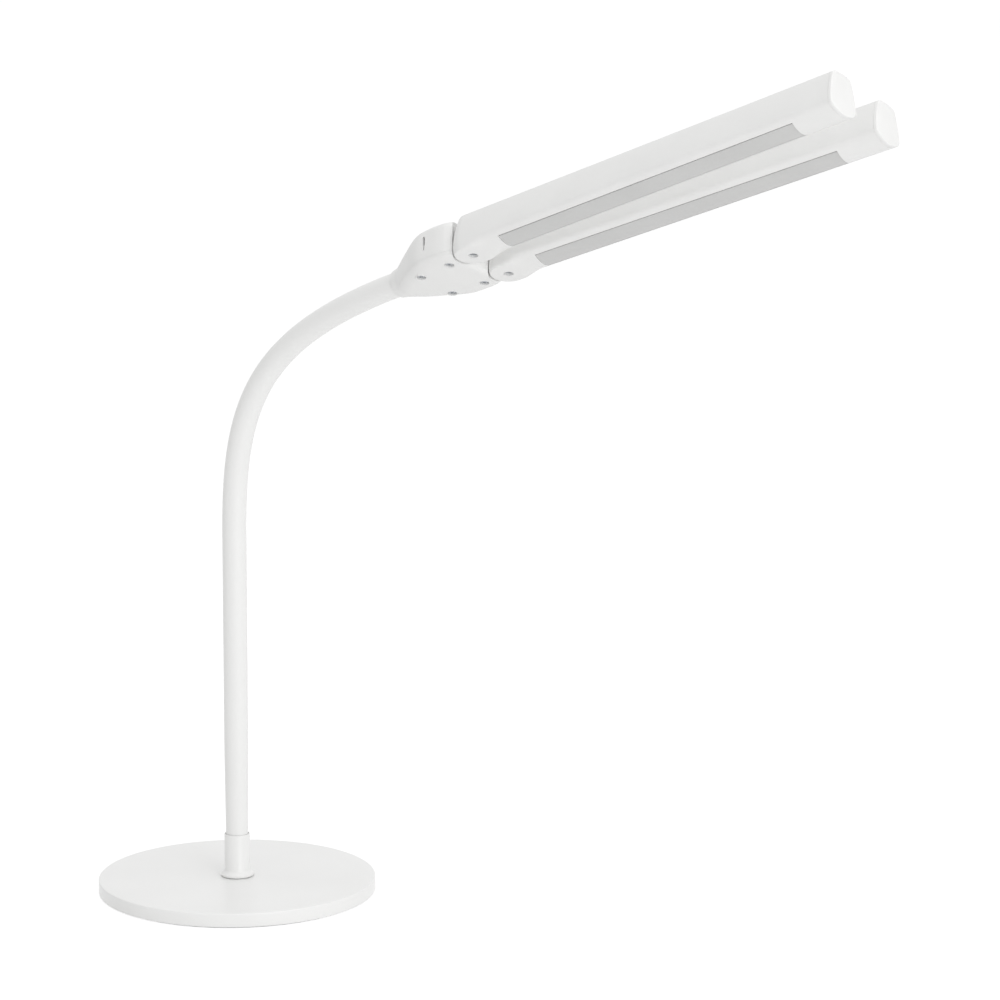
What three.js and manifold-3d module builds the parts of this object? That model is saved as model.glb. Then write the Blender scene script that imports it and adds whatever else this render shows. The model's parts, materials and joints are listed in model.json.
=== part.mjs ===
// LED table lamp: a weighted disc base, a sleeved gooseneck, a fan-shaped hub and two swinging light bars.
// Millimetres, +Z up. The origin is the centre of the base's underside.
// The neck bends in the XZ plane, towards +X.
import * as THREE from 'three';
import { mergeVertices } from 'three/addons/utils/BufferGeometryUtils.js';
import Module from 'manifold-3d';

const wasm = await Module();
wasm.setup();

// Driving sizes

const seatGap = 0.3; // clearance between pieces that touch or seat
const overrun = 2; // how far a cutting shape runs past what it cuts
const weld = 0.0005; // vertices nearer than this are one

const base = { radius: 100, height: 10.6, wall: 2, edgeRound: 1.4, skirtLift: 0.8 };
const pad = { thickness: 1.6 };
const weight = {
  nutRecessRadius: 15, nutRecessDepth: 3.6, channelWidth: 8, channelDepth: 4.2, notchLength: 12,
};
const neck = {
  radius: 8.6, footRadius: 8, wall: 1.9, taperStart: 45, taperEnd: 105,
  straightTop: 261, lowerPull: 92, upperPull: 135,
  endX: 146.8, endZ: 448,
};
const core = { wall: 2.4 };
const bend = { lowerMiddle: 165, lowerLength: 80, upperMiddle: 390, upperLength: 90 };
const collar = { radius: 9.2, height: 31.4, wall: 0.75, flareRadius: 11.6, flareHeight: 5.2, lipHeight: 1.1 };
const stem = { flangeRadius: 8, flangeThickness: 3, tailRadius: 5, boreRadius: 3, spigotLength: 18 };
const stemNut = { acrossRadius: 8.4, thickness: 2 };
const stemWasher = { radius: 12.5, thickness: 1.1 };
const gland = { flangeRadius: 3.9, flangeThickness: 1.2, boreRadius: 1.9, wall: 0.9, insideLength: 5 };

const head = { tiltDegrees: 19.7, rollDegrees: -24.4, neckLead: 3, drop: 8.1 };
const pivot = { spacing: 36, screwRadius: 2, headRadius: 3.3, headHeight: 2.1, headSink: 0.5 };
const bar = {
  length: 295, halfWidth: 13.4, topZ: 24.6, bottomZ: -3.8, wall: 1.8,
  keelHalf: 9, keelZ: -2, widestZ: 2.6, shoulderHalf: 9.6, shoulderZ: 21.9, sideBow: 1.6,
  openDegrees: 25, leftRestDegrees: 2.4,
};
const endCap = { thickness: 2.4, spigotDepth: 6, spigotWall: 1.5 };
const windowPane = {
  start: 28.8, endInset: 31.8, halfWidth: 9.2, recess: 0.45, thickness: 1.6, flange: 1.3, endSlope: 2.5,
};
const ledBoard = {
  underZ: 3.6, thickness: 1.6, halfWidth: 8,
  ledCount: 16, ledLength: 3.5, ledWidth: 2.8, ledHeight: 0.8,
};
const rib = { count: 4, thickness: 1.4 };
const tongue = { halfWidth: 3.5, thickness: 2.5, underZ: 8, eyeRadius: 6.6, clearance: 0.45 };
const pivotWasher = { radius: 5, thickness: 0.8 };
const pivotNut = { acrossRadius: 3.9, thickness: 3 };
const bossRadius = 5;
const screwTip = 1.4; // how far a screw stands out of its nut

const hub = {
  rearX: -81, frontX: -12, rearHalf: 9.9, fullHalf: 30, topZ: 24.4, bottomZ: -4.2,
  wall: 2, frontWall: 2.4, socketLength: 10, splitZ: 0.5, bowRadius: 66, bowFromShare: 0.6,
};
const hubScrew = {
  frontX: -21, frontY: 17.8, rearX: -47.6, rearY: 15.8,
  radius: 1.5, headRadius: 3.1, headHeight: 1.9, headSink: 0.9, recessRadius: 3.75, length: 15.5,
};
const bracket = {
  rearX: -58, rearHalf: 13, frontX: -18.5, frontHalf: 21.5,
  flangeThickness: 2.5, flangeTop: 15, flangeFoot: 1.5, openHalf: 8.2, openFrontX: -40,
};
const ferrule = { spigotLength: 18, flangeRadius: 8, flangeThickness: 3 };
const lockNut = { acrossRadius: 7.2, thickness: 4 };
const driver = { fromX: -43, toX: -27, halfWidth: 10.6, thickness: 1.6, standoff: 3, postRadius: 2 };
const sideSwitch = {
  x: -33, slotHeight: 10, slotWidth: 1.8, middleZ: 11.3, bodyDepth: 4.6, bodyHalfX: 3.4, bodyMargin: 1.4,
  grooveDepth: 2.6, ledgeDepth: 5.5, ledgeHeight: 2.2,
};
// Sides of round forms that don't show, and of small bores.
const plainSides = 16;
const boreSides = 12;
const sliderKey = { height: 4, thickness: 1.1, recess: 0.9 };

// Colours and finishes

function finish(colour, roughness, metalness) {
  return new THREE.MeshStandardMaterial({ color: colour, roughness, metalness });
}
const whitePaint = finish('#f4f4f3', 0.32, 0);
const whitePlastic = finish('#f1f1f0', 0.45, 0);
const whiteSleeve = finish('#f3f3f2', 0.5, 0);
const frostedPane = finish('#dcdcda', 0.65, 0);
const plainSteel = finish('#b9bcc0', 0.32, 1);
const greyIron = finish('#5b5c5e', 0.7, 0.6);
const darkRubber = finish('#3b3c3e', 0.85, 0);
const boardWhite = finish('#e6e8e6', 0.5, 0.1);
const boardGreen = finish('#2c6b46', 0.5, 0.1);
const darkPlastic = finish('#2d2e30', 0.5, 0);

// Closed meshes and solids

function closed(geometry) {
  const bare = geometry.clone();
  for (const extra of ['normal', 'uv']) bare.deleteAttribute(extra);
  const merged = mergeVertices(bare, weld);
  const corners = merged.index.array;
  const kept = [];
  for (let i = 0; i < corners.length; i += 3) {
    const [a, b, c] = corners.slice(i, i + 3);
    if (a !== b && b !== c && c !== a) kept.push(a, b, c);
  }
  merged.setIndex(kept);
  return merged;
}

function solid(geometry) {
  const shape = closed(geometry);
  return new wasm.Manifold(new wasm.Mesh({
    numProp: 3,
    vertProperties: Float32Array.from(shape.attributes.position.array),
    triVerts: Uint32Array.from(shape.index.array),
  }));
}

function join(...shapes) {
  return shapes.reduce((whole, next) => whole.add(next));
}

function cut(whole, ...tools) {
  return tools.reduce((rest, tool) => rest.subtract(tool), whole);
}

function geometryOf(shape) {
  const mesh = shape.getMesh();
  const geometry = new THREE.BufferGeometry();
  geometry.setAttribute('position', new THREE.BufferAttribute(Float32Array.from(mesh.vertProperties), 3));
  geometry.setIndex(new THREE.BufferAttribute(Uint32Array.from(mesh.triVerts), 1));
  geometry.computeVertexNormals();
  return geometry;
}

// Basic forms

// A round bar on the Z axis, from one height to another.
function rod(radius, fromZ, toZ, sides = 20) {
  return new THREE.CylinderGeometry(radius, radius, toZ - fromZ, sides)
    .rotateX(Math.PI / 2)
    .translate(0, 0, (fromZ + toZ) / 2);
}

// A round bar along the X axis, at a given height.
function rodAlongX(radius, fromX, toX, height, sides = 20) {
  return new THREE.CylinderGeometry(radius, radius, toX - fromX, sides)
    .rotateZ(-Math.PI / 2)
    .translate((fromX + toX) / 2, 0, height);
}

// A block between two opposite corners.
function block(lowX, highX, lowY, highY, lowZ, highZ) {
  return new THREE.BoxGeometry(highX - lowX, highY - lowY, highZ - lowZ)
    .translate((lowX + highX) / 2, (lowY + highY) / 2, (lowZ + highZ) / 2);
}

// A plan outline raised from one height to another.
function prism(shape, fromZ, toZ, curveSegments = 8) {
  return new THREE.ExtrudeGeometry(shape, { depth: toZ - fromZ, bevelEnabled: false, curveSegments })
    .translate(0, 0, fromZ);
}

// A profile of [radius, height] points turned about the Z axis.
function turned(profile, sides = 32) {
  const points = profile.map(([radius, height]) => new THREE.Vector2(radius, height));
  return new THREE.LatheGeometry(points, sides).rotateX(Math.PI / 2);
}

function polygon(corners) {
  return new THREE.Shape(corners.map(([x, y]) => new THREE.Vector2(x, y)));
}

function hexagon(acrossRadius, boreRadius) {
  const shape = new THREE.Shape();
  for (let corner = 0; corner < 6; corner += 1) {
    const angle = corner * Math.PI / 3;
    const place = [acrossRadius * Math.cos(angle), acrossRadius * Math.sin(angle)];
    if (corner === 0) shape.moveTo(...place);
    else shape.lineTo(...place);
  }
  shape.closePath();
  shape.holes.push(new THREE.Path().absarc(0, 0, boreRadius, 0, 2 * Math.PI, true));
  return shape;
}

function ringShape(outerRadius, innerRadius) {
  const shape = new THREE.Shape().absarc(0, 0, outerRadius, 0, 2 * Math.PI, false);
  shape.holes.push(new THREE.Path().absarc(0, 0, innerRadius, 0, 2 * Math.PI, true));
  return shape;
}

// The assembly and its groups

const lamp = new THREE.Group();
const radians = THREE.MathUtils.degToRad;

const headTilt = new THREE.Group();
headTilt.position.set(neck.endX, 0, neck.endZ);
headTilt.rotation.y = -radians(head.tiltDegrees);
lamp.add(headTilt);

const headRoll = new THREE.Group();
headRoll.rotation.x = radians(head.rollDegrees);
headTilt.add(headRoll);

// In the head's own frame X runs along the bars, Y across them and Z up, from the middle of the two pivots.
const headFrame = new THREE.Group();
headFrame.position.set(head.neckLead - hub.rearX, 0, -head.drop);
headRoll.add(headFrame);

function place(name, shape, material, parent = lamp) {
  const geometry = shape.isBufferGeometry ? closed(shape) : geometryOf(shape);
  const mesh = new THREE.Mesh(geometry, material);
  mesh.name = name;
  parent.add(mesh);
  return mesh;
}

// Base

const coverUnderside = base.height - base.wall;
const skirtInside = base.radius - base.wall;
const padRadius = skirtInside - seatGap;
const weightBottom = pad.thickness + seatGap;
const weightTop = coverUnderside - seatGap;
const stemHole = stem.tailRadius + seatGap;
const glandRadius = gland.boreRadius + gland.wall;
const glandZ = base.skirtLift + gland.flangeRadius + seatGap;

function baseCover() {
  const roundSteps = 2;
  const profile = [[stemHole, coverUnderside], [skirtInside, coverUnderside], [skirtInside, base.skirtLift],
    [base.radius, base.skirtLift]];
  for (let step = 0; step <= roundSteps; step += 1) {
    const angle = step / roundSteps * Math.PI / 2;
    profile.push([base.radius - base.edgeRound * (1 - Math.cos(angle)),
      base.height - base.edgeRound * (1 - Math.sin(angle))]);
  }
  profile.push([stemHole, base.height], [stemHole, coverUnderside]);
  const glandHole = rodAlongX(glandRadius + seatGap, -base.radius - overrun, -skirtInside + overrun, glandZ,
    boreSides);
  return cut(solid(turned(profile, 48)), solid(glandHole));
}

function baseWeight() {
  const disc = solid(rod(padRadius, weightBottom, weightTop, 48));
  const hole = solid(rod(stemHole, weightBottom - overrun, weightTop + overrun));
  const recess = solid(rod(weight.nutRecessRadius, weightBottom - overrun,
    weightBottom + weight.nutRecessDepth));
  const channel = solid(block(-base.radius, -stemHole, -weight.channelWidth / 2, weight.channelWidth / 2,
    weightBottom - overrun, weightBottom + weight.channelDepth));
  const notch = solid(block(-base.radius, -padRadius + weight.notchLength, -weight.channelWidth / 2,
    weight.channelWidth / 2, weightBottom - overrun, weightTop + overrun));
  return cut(disc, hole, recess, channel, notch);
}

function cordGland() {
  const outerFace = -base.radius - seatGap;
  const innerEnd = outerFace + gland.insideLength;
  const flange = solid(rodAlongX(gland.flangeRadius, outerFace - gland.flangeThickness, outerFace, glandZ));
  const tube = solid(rodAlongX(glandRadius, outerFace - gland.flangeThickness / 2, innerEnd, glandZ,
    boreSides));
  const bore = solid(rodAlongX(gland.boreRadius, outerFace - base.wall - overrun, innerEnd + overrun, glandZ,
    boreSides));
  return cut(join(flange, tube), bore);
}

place('base_cover', baseCover(), whitePaint);
place('base_weight', baseWeight(), greyIron);
place('base_pad', rod(padRadius, 0, pad.thickness, 48), darkRubber);
place('cord_gland', cordGland(), whitePlastic);

// Collar and the threaded stem that holds the neck on the base

const collarFoot = base.height + seatGap;
const collarTop = base.height + collar.height;
const stemFlangeFoot = base.height + seatGap;
const neckFoot = stemFlangeFoot + stem.flangeThickness + seatGap;
const nutSeat = weightBottom + weight.nutRecessDepth - seatGap;
const stemTailFoot = nutSeat - stemWasher.thickness - seatGap - stemNut.thickness;

const flareShare = 0.75;
place('collar', turned([
  [collar.flareRadius - collar.wall, collarFoot],
  [collar.flareRadius, collarFoot],
  [collar.flareRadius, collarFoot + collar.lipHeight],
  [THREE.MathUtils.lerp(collar.flareRadius, collar.radius, flareShare),
    collarFoot + (collar.lipHeight + collar.flareHeight) / 2],
  [collar.radius, collarFoot + collar.flareHeight],
  [collar.radius, collarTop],
  [collar.radius - collar.wall, collarTop],
  [collar.radius - collar.wall, collarFoot + collar.flareHeight],
  [collar.flareRadius - collar.wall, collarFoot + collar.lipHeight],
  [collar.flareRadius - collar.wall, collarFoot],
], 24), whitePaint);

place('stem_ferrule', turned([
  [stem.boreRadius, stemTailFoot],
  [stem.tailRadius, stemTailFoot],
  [stem.tailRadius, stemFlangeFoot],
  [stem.flangeRadius, stemFlangeFoot],
  [stem.flangeRadius, stemFlangeFoot + stem.flangeThickness],
  [neck.radius - neck.wall - core.wall / 2 - seatGap, stemFlangeFoot + stem.flangeThickness],
  [neck.radius - neck.wall - core.wall / 2 - seatGap, neckFoot + stem.spigotLength],
  [stem.boreRadius, neckFoot + stem.spigotLength],
  [stem.boreRadius, stemTailFoot],
], plainSides), plainSteel);

place('stem_washer', prism(ringShape(stemWasher.radius, stemHole), nutSeat - stemWasher.thickness, nutSeat),
  plainSteel);
place('stem_nut', prism(hexagon(stemNut.acrossRadius, stemHole), stemTailFoot,
  stemTailFoot + stemNut.thickness), plainSteel);

// Gooseneck: one path, cut into a foot, two bending stretches, a middle and a top

const tiltCos = Math.cos(radians(head.tiltDegrees));
const tiltSin = Math.sin(radians(head.tiltDegrees));
const neckEnd = new THREE.Vector3(neck.endX, 0, neck.endZ);
const neckPath = new THREE.CurvePath();
neckPath.add(new THREE.LineCurve3(
  new THREE.Vector3(0, 0, neckFoot),
  new THREE.Vector3(0, 0, neck.straightTop),
));
neckPath.add(new THREE.CubicBezierCurve3(
  new THREE.Vector3(0, 0, neck.straightTop),
  new THREE.Vector3(0, 0, neck.straightTop + neck.lowerPull),
  new THREE.Vector3(neck.endX - neck.upperPull * tiltCos, 0, neck.endZ - neck.upperPull * tiltSin),
  neckEnd,
));
const neckInHub = head.neckLead + hub.socketLength / 2;
neckPath.add(new THREE.LineCurve3(
  neckEnd,
  new THREE.Vector3(neck.endX + neckInHub * tiltCos, 0, neck.endZ + neckInHub * tiltSin),
));
const neckLength = neckPath.getLength();

// The part of the neck's path between two lengths measured from its foot.
class NeckStretch extends THREE.Curve {
  constructor(from, to) {
    super();
    this.from = from;
    this.to = to;
  }

  getPoint(share, target = new THREE.Vector3()) {
    const along = (this.from + (this.to - this.from) * share) / neckLength;
    return target.copy(neckPath.getPoint(Math.min(Math.max(along, 0), 1)));
  }
}

function tube(outerRadius, innerRadius, from, to, stepLength, sides) {
  return new THREE.ExtrudeGeometry(ringShape(outerRadius, innerRadius), {
    extrudePath: new NeckStretch(from, to),
    steps: Math.max(1, Math.ceil((to - from) / stepLength)),
    curveSegments: sides,
    bevelEnabled: false,
  });
}

const lowerBendFrom = bend.lowerMiddle - neckFoot - bend.lowerLength / 2;
const lowerBendTo = lowerBendFrom + bend.lowerLength;
const upperBendFrom = bend.upperMiddle - neckFoot - bend.upperLength / 2;
const upperBendTo = upperBendFrom + bend.upperLength;
const sleeveInside = neck.radius - neck.wall;
const coreOutside = sleeveInside - seatGap;
const coreInside = coreOutside - core.wall;
const curveStep = 15;
const sleeveSides = 8;
const coreSides = 4;

place('neck_sleeve_foot', turned([
  [sleeveInside, neckFoot],
  [neck.footRadius, neckFoot],
  [neck.footRadius, neck.taperStart],
  [neck.radius, neck.taperEnd],
  [neck.radius, neckFoot + lowerBendFrom],
  [sleeveInside, neckFoot + lowerBendFrom],
  [sleeveInside, neckFoot],
], 2 * sleeveSides), whiteSleeve);

function neckPair(label, from, to, straight) {
  const step = straight ? bend.lowerLength : curveStep;
  place(`neck_sleeve_${label}`, tube(neck.radius, sleeveInside, from, to, step, sleeveSides), whiteSleeve);
  place(`neck_core_${label}`, tube(coreOutside, coreInside, from, to, step, coreSides), plainSteel);
}

place('neck_core_foot', tube(coreOutside, coreInside, stem.spigotLength + seatGap, lowerBendFrom,
  bend.lowerLength, coreSides), plainSteel);
neckPair('lower_bend', lowerBendFrom + seatGap, lowerBendTo - seatGap, true);
neckPair('middle', lowerBendTo, upperBendFrom, false);
neckPair('upper_bend', upperBendFrom + seatGap, upperBendTo - seatGap, false);
place('neck_sleeve_top', tube(neck.radius, sleeveInside, upperBendTo, neckLength, curveStep, sleeveSides),
  whiteSleeve);
place('neck_core_top', tube(coreOutside, coreInside, upperBendTo, neckLength - ferrule.spigotLength - seatGap,
  curveStep, coreSides), plainSteel);

// Hub: a loft from the neck's round to a wide, soft-edged front that bows out between the bars

// Each row: how far along, how wide, how high, how deep, and the superellipse's power.
const hubStationShares = [
  [0, 0, 0, 0, 2],
  [0.07, 0.04, 0.1, 0.35, 2.1],
  [0.13, 0.16, 0.2, 0.62, 2.3],
  [0.2, 0.31, 0.32, 0.87, 2.6],
  [0.28, 0.47, 0.45, 1, 3],
  [0.36, 0.62, 0.59, 1, 3.4],
  [0.44, 0.77, 0.72, 1, 3.9],
  [0.51, 0.88, 0.81, 1, 4.5],
  [0.57, 0.955, 0.87, 1, 5],
  [0.63, 0.99, 0.92, 1, 5.6],
  [0.74, 1, 0.985, 1, 6],
  [0.9, 0.985, 1, 1, 6],
  [0.965, 0.965, 0.985, 1, 6],
  [0.99, 0.94, 0.94, 0.97, 6],
  [1, 0.905, 0.87, 0.87, 5.6],
  [1, 0.45, 0.5, 0.5, 5],
  [1, 0, 0, 0, 4],
];

// How far the bowed front falls back at a distance from its middle.
function bowDepth(across) {
  return hub.bowRadius - Math.sqrt(hub.bowRadius ** 2 - across ** 2);
}

function hubRows(inset) {
  const lowStart = head.drop - hub.rearHalf;
  const highStart = head.drop + hub.rearHalf;
  return hubStationShares.map(([along, wide, high, deep, power]) => {
    const top = highStart + (hub.topZ - highStart) * high - inset;
    const bottom = lowStart + (hub.bottomZ - lowStart) * deep + inset;
    return {
      x: hub.rearX + (hub.frontX - hub.rearX) * along,
      half: hub.rearHalf + (hub.fullHalf - hub.rearHalf) * wide - inset,
      middle: (top + bottom) / 2,
      rise: (top - bottom) / 2,
      bow: Math.max(0, (along - hub.bowFromShare) / (1 - hub.bowFromShare)),
      power,
    };
  });
}

function loftAlongX(rows, sides) {
  const shape = new THREE.CylinderGeometry(1, 1, 1, sides, rows.length - 1);
  const points = shape.attributes.position;
  const bulge = (value, power) => Math.sign(value) * Math.abs(value) ** (2 / power);
  for (let i = 0; i < points.count; i += 1) {
    const row = rows[Math.round((points.getY(i) + 1 / 2) * (rows.length - 1))];
    const reach = Math.hypot(points.getX(i), points.getZ(i));
    const turn = Math.atan2(points.getZ(i), points.getX(i));
    const across = reach * bulge(Math.sin(turn), row.power) * row.half;
    const up = reach * bulge(Math.cos(turn), row.power) * row.rise;
    points.setXYZ(i, row.x - row.bow * bowDepth(across), across, row.middle + up);
  }
  return shape;
}

const hubSides = 24;
const cavitySides = 16;
const bowSides = 96;
const hubOutside = solid(loftAlongX(hubRows(0), hubSides));
const cavityRearX = hub.rearX + hub.socketLength;
const hubReachBox = (lowX, highX, lowZ, highZ) => solid(block(lowX, highX,
  -hub.fullHalf - overrun, hub.fullHalf + overrun, lowZ, highZ));
const at = (shape, x, y) => solid(shape.translate(x, y, 0));

// The room inside the hub's walls, from the socket to the bowed front wall.
function hubRoom(gap) {
  const bowed = at(rod(hub.bowRadius - hub.frontWall - gap, hub.bottomZ, hub.topZ, bowSides),
    hub.frontX - hub.bowRadius, 0);
  return solid(loftAlongX(hubRows(hub.wall + gap), cavitySides))
    .intersect(hubReachBox(cavityRearX, hub.frontX, hub.bottomZ, hub.topZ))
    .intersect(bowed);
}

const hubCavity = hubRoom(0);
const socketRadius = neck.radius + seatGap;
const socket = solid(rodAlongX(socketRadius, hub.rearX - overrun, cavityRearX + overrun, head.drop));
const screwPlaces = [
  ['front_right', hubScrew.frontX, -hubScrew.frontY],
  ['front_left', hubScrew.frontX, hubScrew.frontY],
  ['rear_right', hubScrew.rearX, -hubScrew.rearY],
  ['rear_left', hubScrew.rearX, hubScrew.rearY],
];
const screwBore = hubScrew.radius + seatGap;
const headSeatZ = hub.bottomZ + hubScrew.headSink + hubScrew.headHeight + seatGap;
const screwTopZ = headSeatZ - seatGap + hubScrew.length;
const plateTop = tongue.underZ + tongue.thickness;

const switchWallY = -hub.fullHalf;
const switchFaceY = switchWallY + hub.wall + seatGap;
const switchLow = sideSwitch.middleZ - sideSwitch.slotHeight / 2;
const switchHigh = sideSwitch.middleZ + sideSwitch.slotHeight / 2;
const switchFromX = sideSwitch.x - sideSwitch.bodyHalfX;
const switchToX = sideSwitch.x + sideSwitch.bodyHalfX;
const switchBackY = switchFaceY + sideSwitch.bodyDepth;

function hubHousing() {
  let shell = cut(hubOutside, hubCavity, socket, hubReachBox(hub.rearX - overrun, hub.frontX + overrun,
    hub.bottomZ - overrun, hub.splitZ + seatGap / 2));
  for (const [, x, y] of screwPlaces) {
    const post = at(rod(bossRadius, plateTop + seatGap, hub.topZ - hub.wall / 2, boreSides), x, y)
      .intersect(hubOutside);
    const hole = at(rod(screwBore, plateTop - overrun, screwTopZ + seatGap, boreSides), x, y);
    shell = cut(join(shell, post), hole);
  }
  const slotReach = pivot.spacing / 2 + tongue.halfWidth + tongue.clearance;
  const slotRearX = hub.frontX - hub.frontWall - bowDepth(slotReach) - overrun;
  for (const side of [-1, 1]) {
    const y = side * pivot.spacing / 2;
    shell = cut(shell, solid(block(slotRearX, hub.frontX + overrun,
      y - tongue.halfWidth - tongue.clearance, y + tongue.halfWidth + tongue.clearance,
      tongue.underZ - tongue.clearance, plateTop + tongue.clearance)));
  }
  const slot = solid(block(sideSwitch.x - sideSwitch.slotWidth / 2, sideSwitch.x + sideSwitch.slotWidth / 2,
    switchWallY - overrun, switchWallY + hub.wall + overrun, switchLow, switchHigh));
  const pocket = solid(block(switchFromX - seatGap, switchToX + seatGap, switchWallY + hub.wall,
    switchFaceY + sideSwitch.bodyDepth, switchLow - sideSwitch.bodyMargin - seatGap,
    switchHigh + sideSwitch.bodyMargin + seatGap));
  return cut(shell, slot, pocket);
}

function hubCover() {
  const postRoom = hubRoom(seatGap);
  let shell = cut(hubOutside, hubCavity, socket, hubReachBox(hub.rearX - overrun, hub.frontX + overrun,
    hub.splitZ - seatGap / 2, hub.topZ + overrun));
  for (const [, x, y] of screwPlaces) {
    const foot = at(rod(bossRadius, hub.bottomZ + hub.wall / 2, hub.splitZ - seatGap / 2, boreSides), x, y);
    const upper = at(rod(bossRadius, hub.bottomZ + hub.wall, tongue.underZ - seatGap, boreSides), x, y);
    const post = join(foot, upper.intersect(postRoom));
    const hole = at(rod(screwBore, hub.bottomZ - overrun, tongue.underZ + overrun, boreSides), x, y);
    const recess = at(rod(hubScrew.recessRadius, hub.bottomZ - overrun, headSeatZ, plainSides), x, y);
    shell = cut(join(shell, post), hole, recess);
  }
  return shell;
}

place('hub_housing', hubHousing(), whitePlastic, headFrame);
place('hub_cover', hubCover(), whitePlastic, headFrame);

// A pan-head screw on the Z axis: its head's underside is at seatZ and it points up.
function panScrew(radius, headRadius, headHeight, seatZ, topZ) {
  const domeShare = 0.55;
  const rimShare = 0.8;
  const crossShare = 0.25;
  const crossWidth = headRadius * crossShare;
  const crossReach = headRadius * rimShare;
  const face = seatZ - headHeight;
  const body = solid(turned([
    [0, face],
    [headRadius * rimShare, face + headHeight * (1 - domeShare) / 2],
    [headRadius, face + headHeight * domeShare],
    [headRadius, seatZ],
    [radius, seatZ],
    [radius, topZ],
    [0, topZ],
  ], boreSides));
  const depth = headHeight * domeShare;
  return cut(body,
    solid(block(-crossReach / 2 - crossWidth, crossReach / 2 + crossWidth, -crossWidth / 2, crossWidth / 2,
      face - overrun, face + depth)),
    solid(block(-crossWidth / 2, crossWidth / 2, -crossReach / 2 - crossWidth, crossReach / 2 + crossWidth,
      face - overrun, face + depth)));
}

for (const [label, x, y] of screwPlaces) {
  place(`hub_screw_${label}`, panScrew(hubScrew.radius, hubScrew.headRadius, hubScrew.headHeight,
    headSeatZ - seatGap, screwTopZ), plainSteel, headFrame).position.set(x, y, 0);
}

// Pivot bracket: a steel plate with two eyes for the bars and a flange for the neck

function pivotBracket() {
  const flangeRearX = bracket.rearX - bracket.flangeThickness;
  const plate = solid(prism(polygon([
    [flangeRearX, -bracket.rearHalf],
    [bracket.rearX, -bracket.rearHalf],
    [hubScrew.rearX, -bracket.frontHalf + bossRadius / 2],
    [hubScrew.frontX - bossRadius, -bracket.frontHalf],
    [bracket.frontX, -bracket.frontHalf],
    [bracket.frontX, bracket.frontHalf],
    [hubScrew.frontX - bossRadius, bracket.frontHalf],
    [hubScrew.rearX, bracket.frontHalf - bossRadius / 2],
    [bracket.rearX, bracket.rearHalf],
    [flangeRearX, bracket.rearHalf],
  ]), tongue.underZ, plateTop));
  const opening = solid(block(flangeRearX - overrun, bracket.openFrontX, -bracket.openHalf, bracket.openHalf,
    tongue.underZ - overrun, plateTop + overrun));
  const flange = solid(block(flangeRearX, bracket.rearX, -bracket.rearHalf, bracket.rearHalf,
    bracket.flangeFoot, bracket.flangeTop));
  const neckHole = solid(rodAlongX(stem.tailRadius + seatGap, flangeRearX - overrun, bracket.rearX + overrun,
    head.drop));
  const switchNotch = solid(block(switchFromX - seatGap, switchToX + seatGap,
    switchWallY, switchBackY + seatGap, tongue.underZ - overrun, plateTop + overrun));
  let whole = cut(join(cut(plate, opening), flange), neckHole, switchNotch);
  for (const side of [-1, 1]) {
    const y = side * pivot.spacing / 2;
    const arm = solid(block(bracket.frontX - seatGap, 0, y - tongue.halfWidth, y + tongue.halfWidth,
      tongue.underZ, plateTop));
    const eye = at(rod(tongue.eyeRadius, tongue.underZ, plateTop), 0, y);
    const hole = at(rod(pivot.screwRadius + seatGap, tongue.underZ - overrun, plateTop + overrun, boreSides),
      0, y);
    whole = cut(join(whole, arm, eye), hole);
  }
  for (const [, x, y] of screwPlaces) {
    whole = cut(whole, at(rod(screwBore, tongue.underZ - overrun, plateTop + overrun, boreSides), x, y));
  }
  return whole;
}

place('pivot_bracket', pivotBracket(), plainSteel, headFrame);

// The neck's upper ferrule and its lock nut, on the neck's axis

const sleeveEndX = hub.rearX + hub.socketLength / 2;
const ferruleFlangeX = sleeveEndX + seatGap;
const ferruleTailEnd = bracket.rearX + seatGap + lockNut.thickness + screwTip;

function alongNeck(geometry) {
  return geometry.rotateY(Math.PI / 2).translate(0, 0, head.drop);
}

place('neck_end_ferrule', alongNeck(turned([
  [stem.boreRadius, sleeveEndX - ferrule.spigotLength],
  [coreOutside, sleeveEndX - ferrule.spigotLength],
  [coreOutside, ferruleFlangeX],
  [ferrule.flangeRadius, ferruleFlangeX],
  [ferrule.flangeRadius, ferruleFlangeX + ferrule.flangeThickness],
  [stem.tailRadius, ferruleFlangeX + ferrule.flangeThickness],
  [stem.tailRadius, ferruleTailEnd],
  [stem.boreRadius, ferruleTailEnd],
  [stem.boreRadius, sleeveEndX - ferrule.spigotLength],
], plainSides)), plainSteel, headFrame);

place('neck_lock_nut', alongNeck(prism(hexagon(lockNut.acrossRadius, stem.tailRadius + seatGap),
  bracket.rearX + seatGap, bracket.rearX + seatGap + lockNut.thickness)), plainSteel, headFrame);

// Driver board on two posts that stand on the bracket

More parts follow.
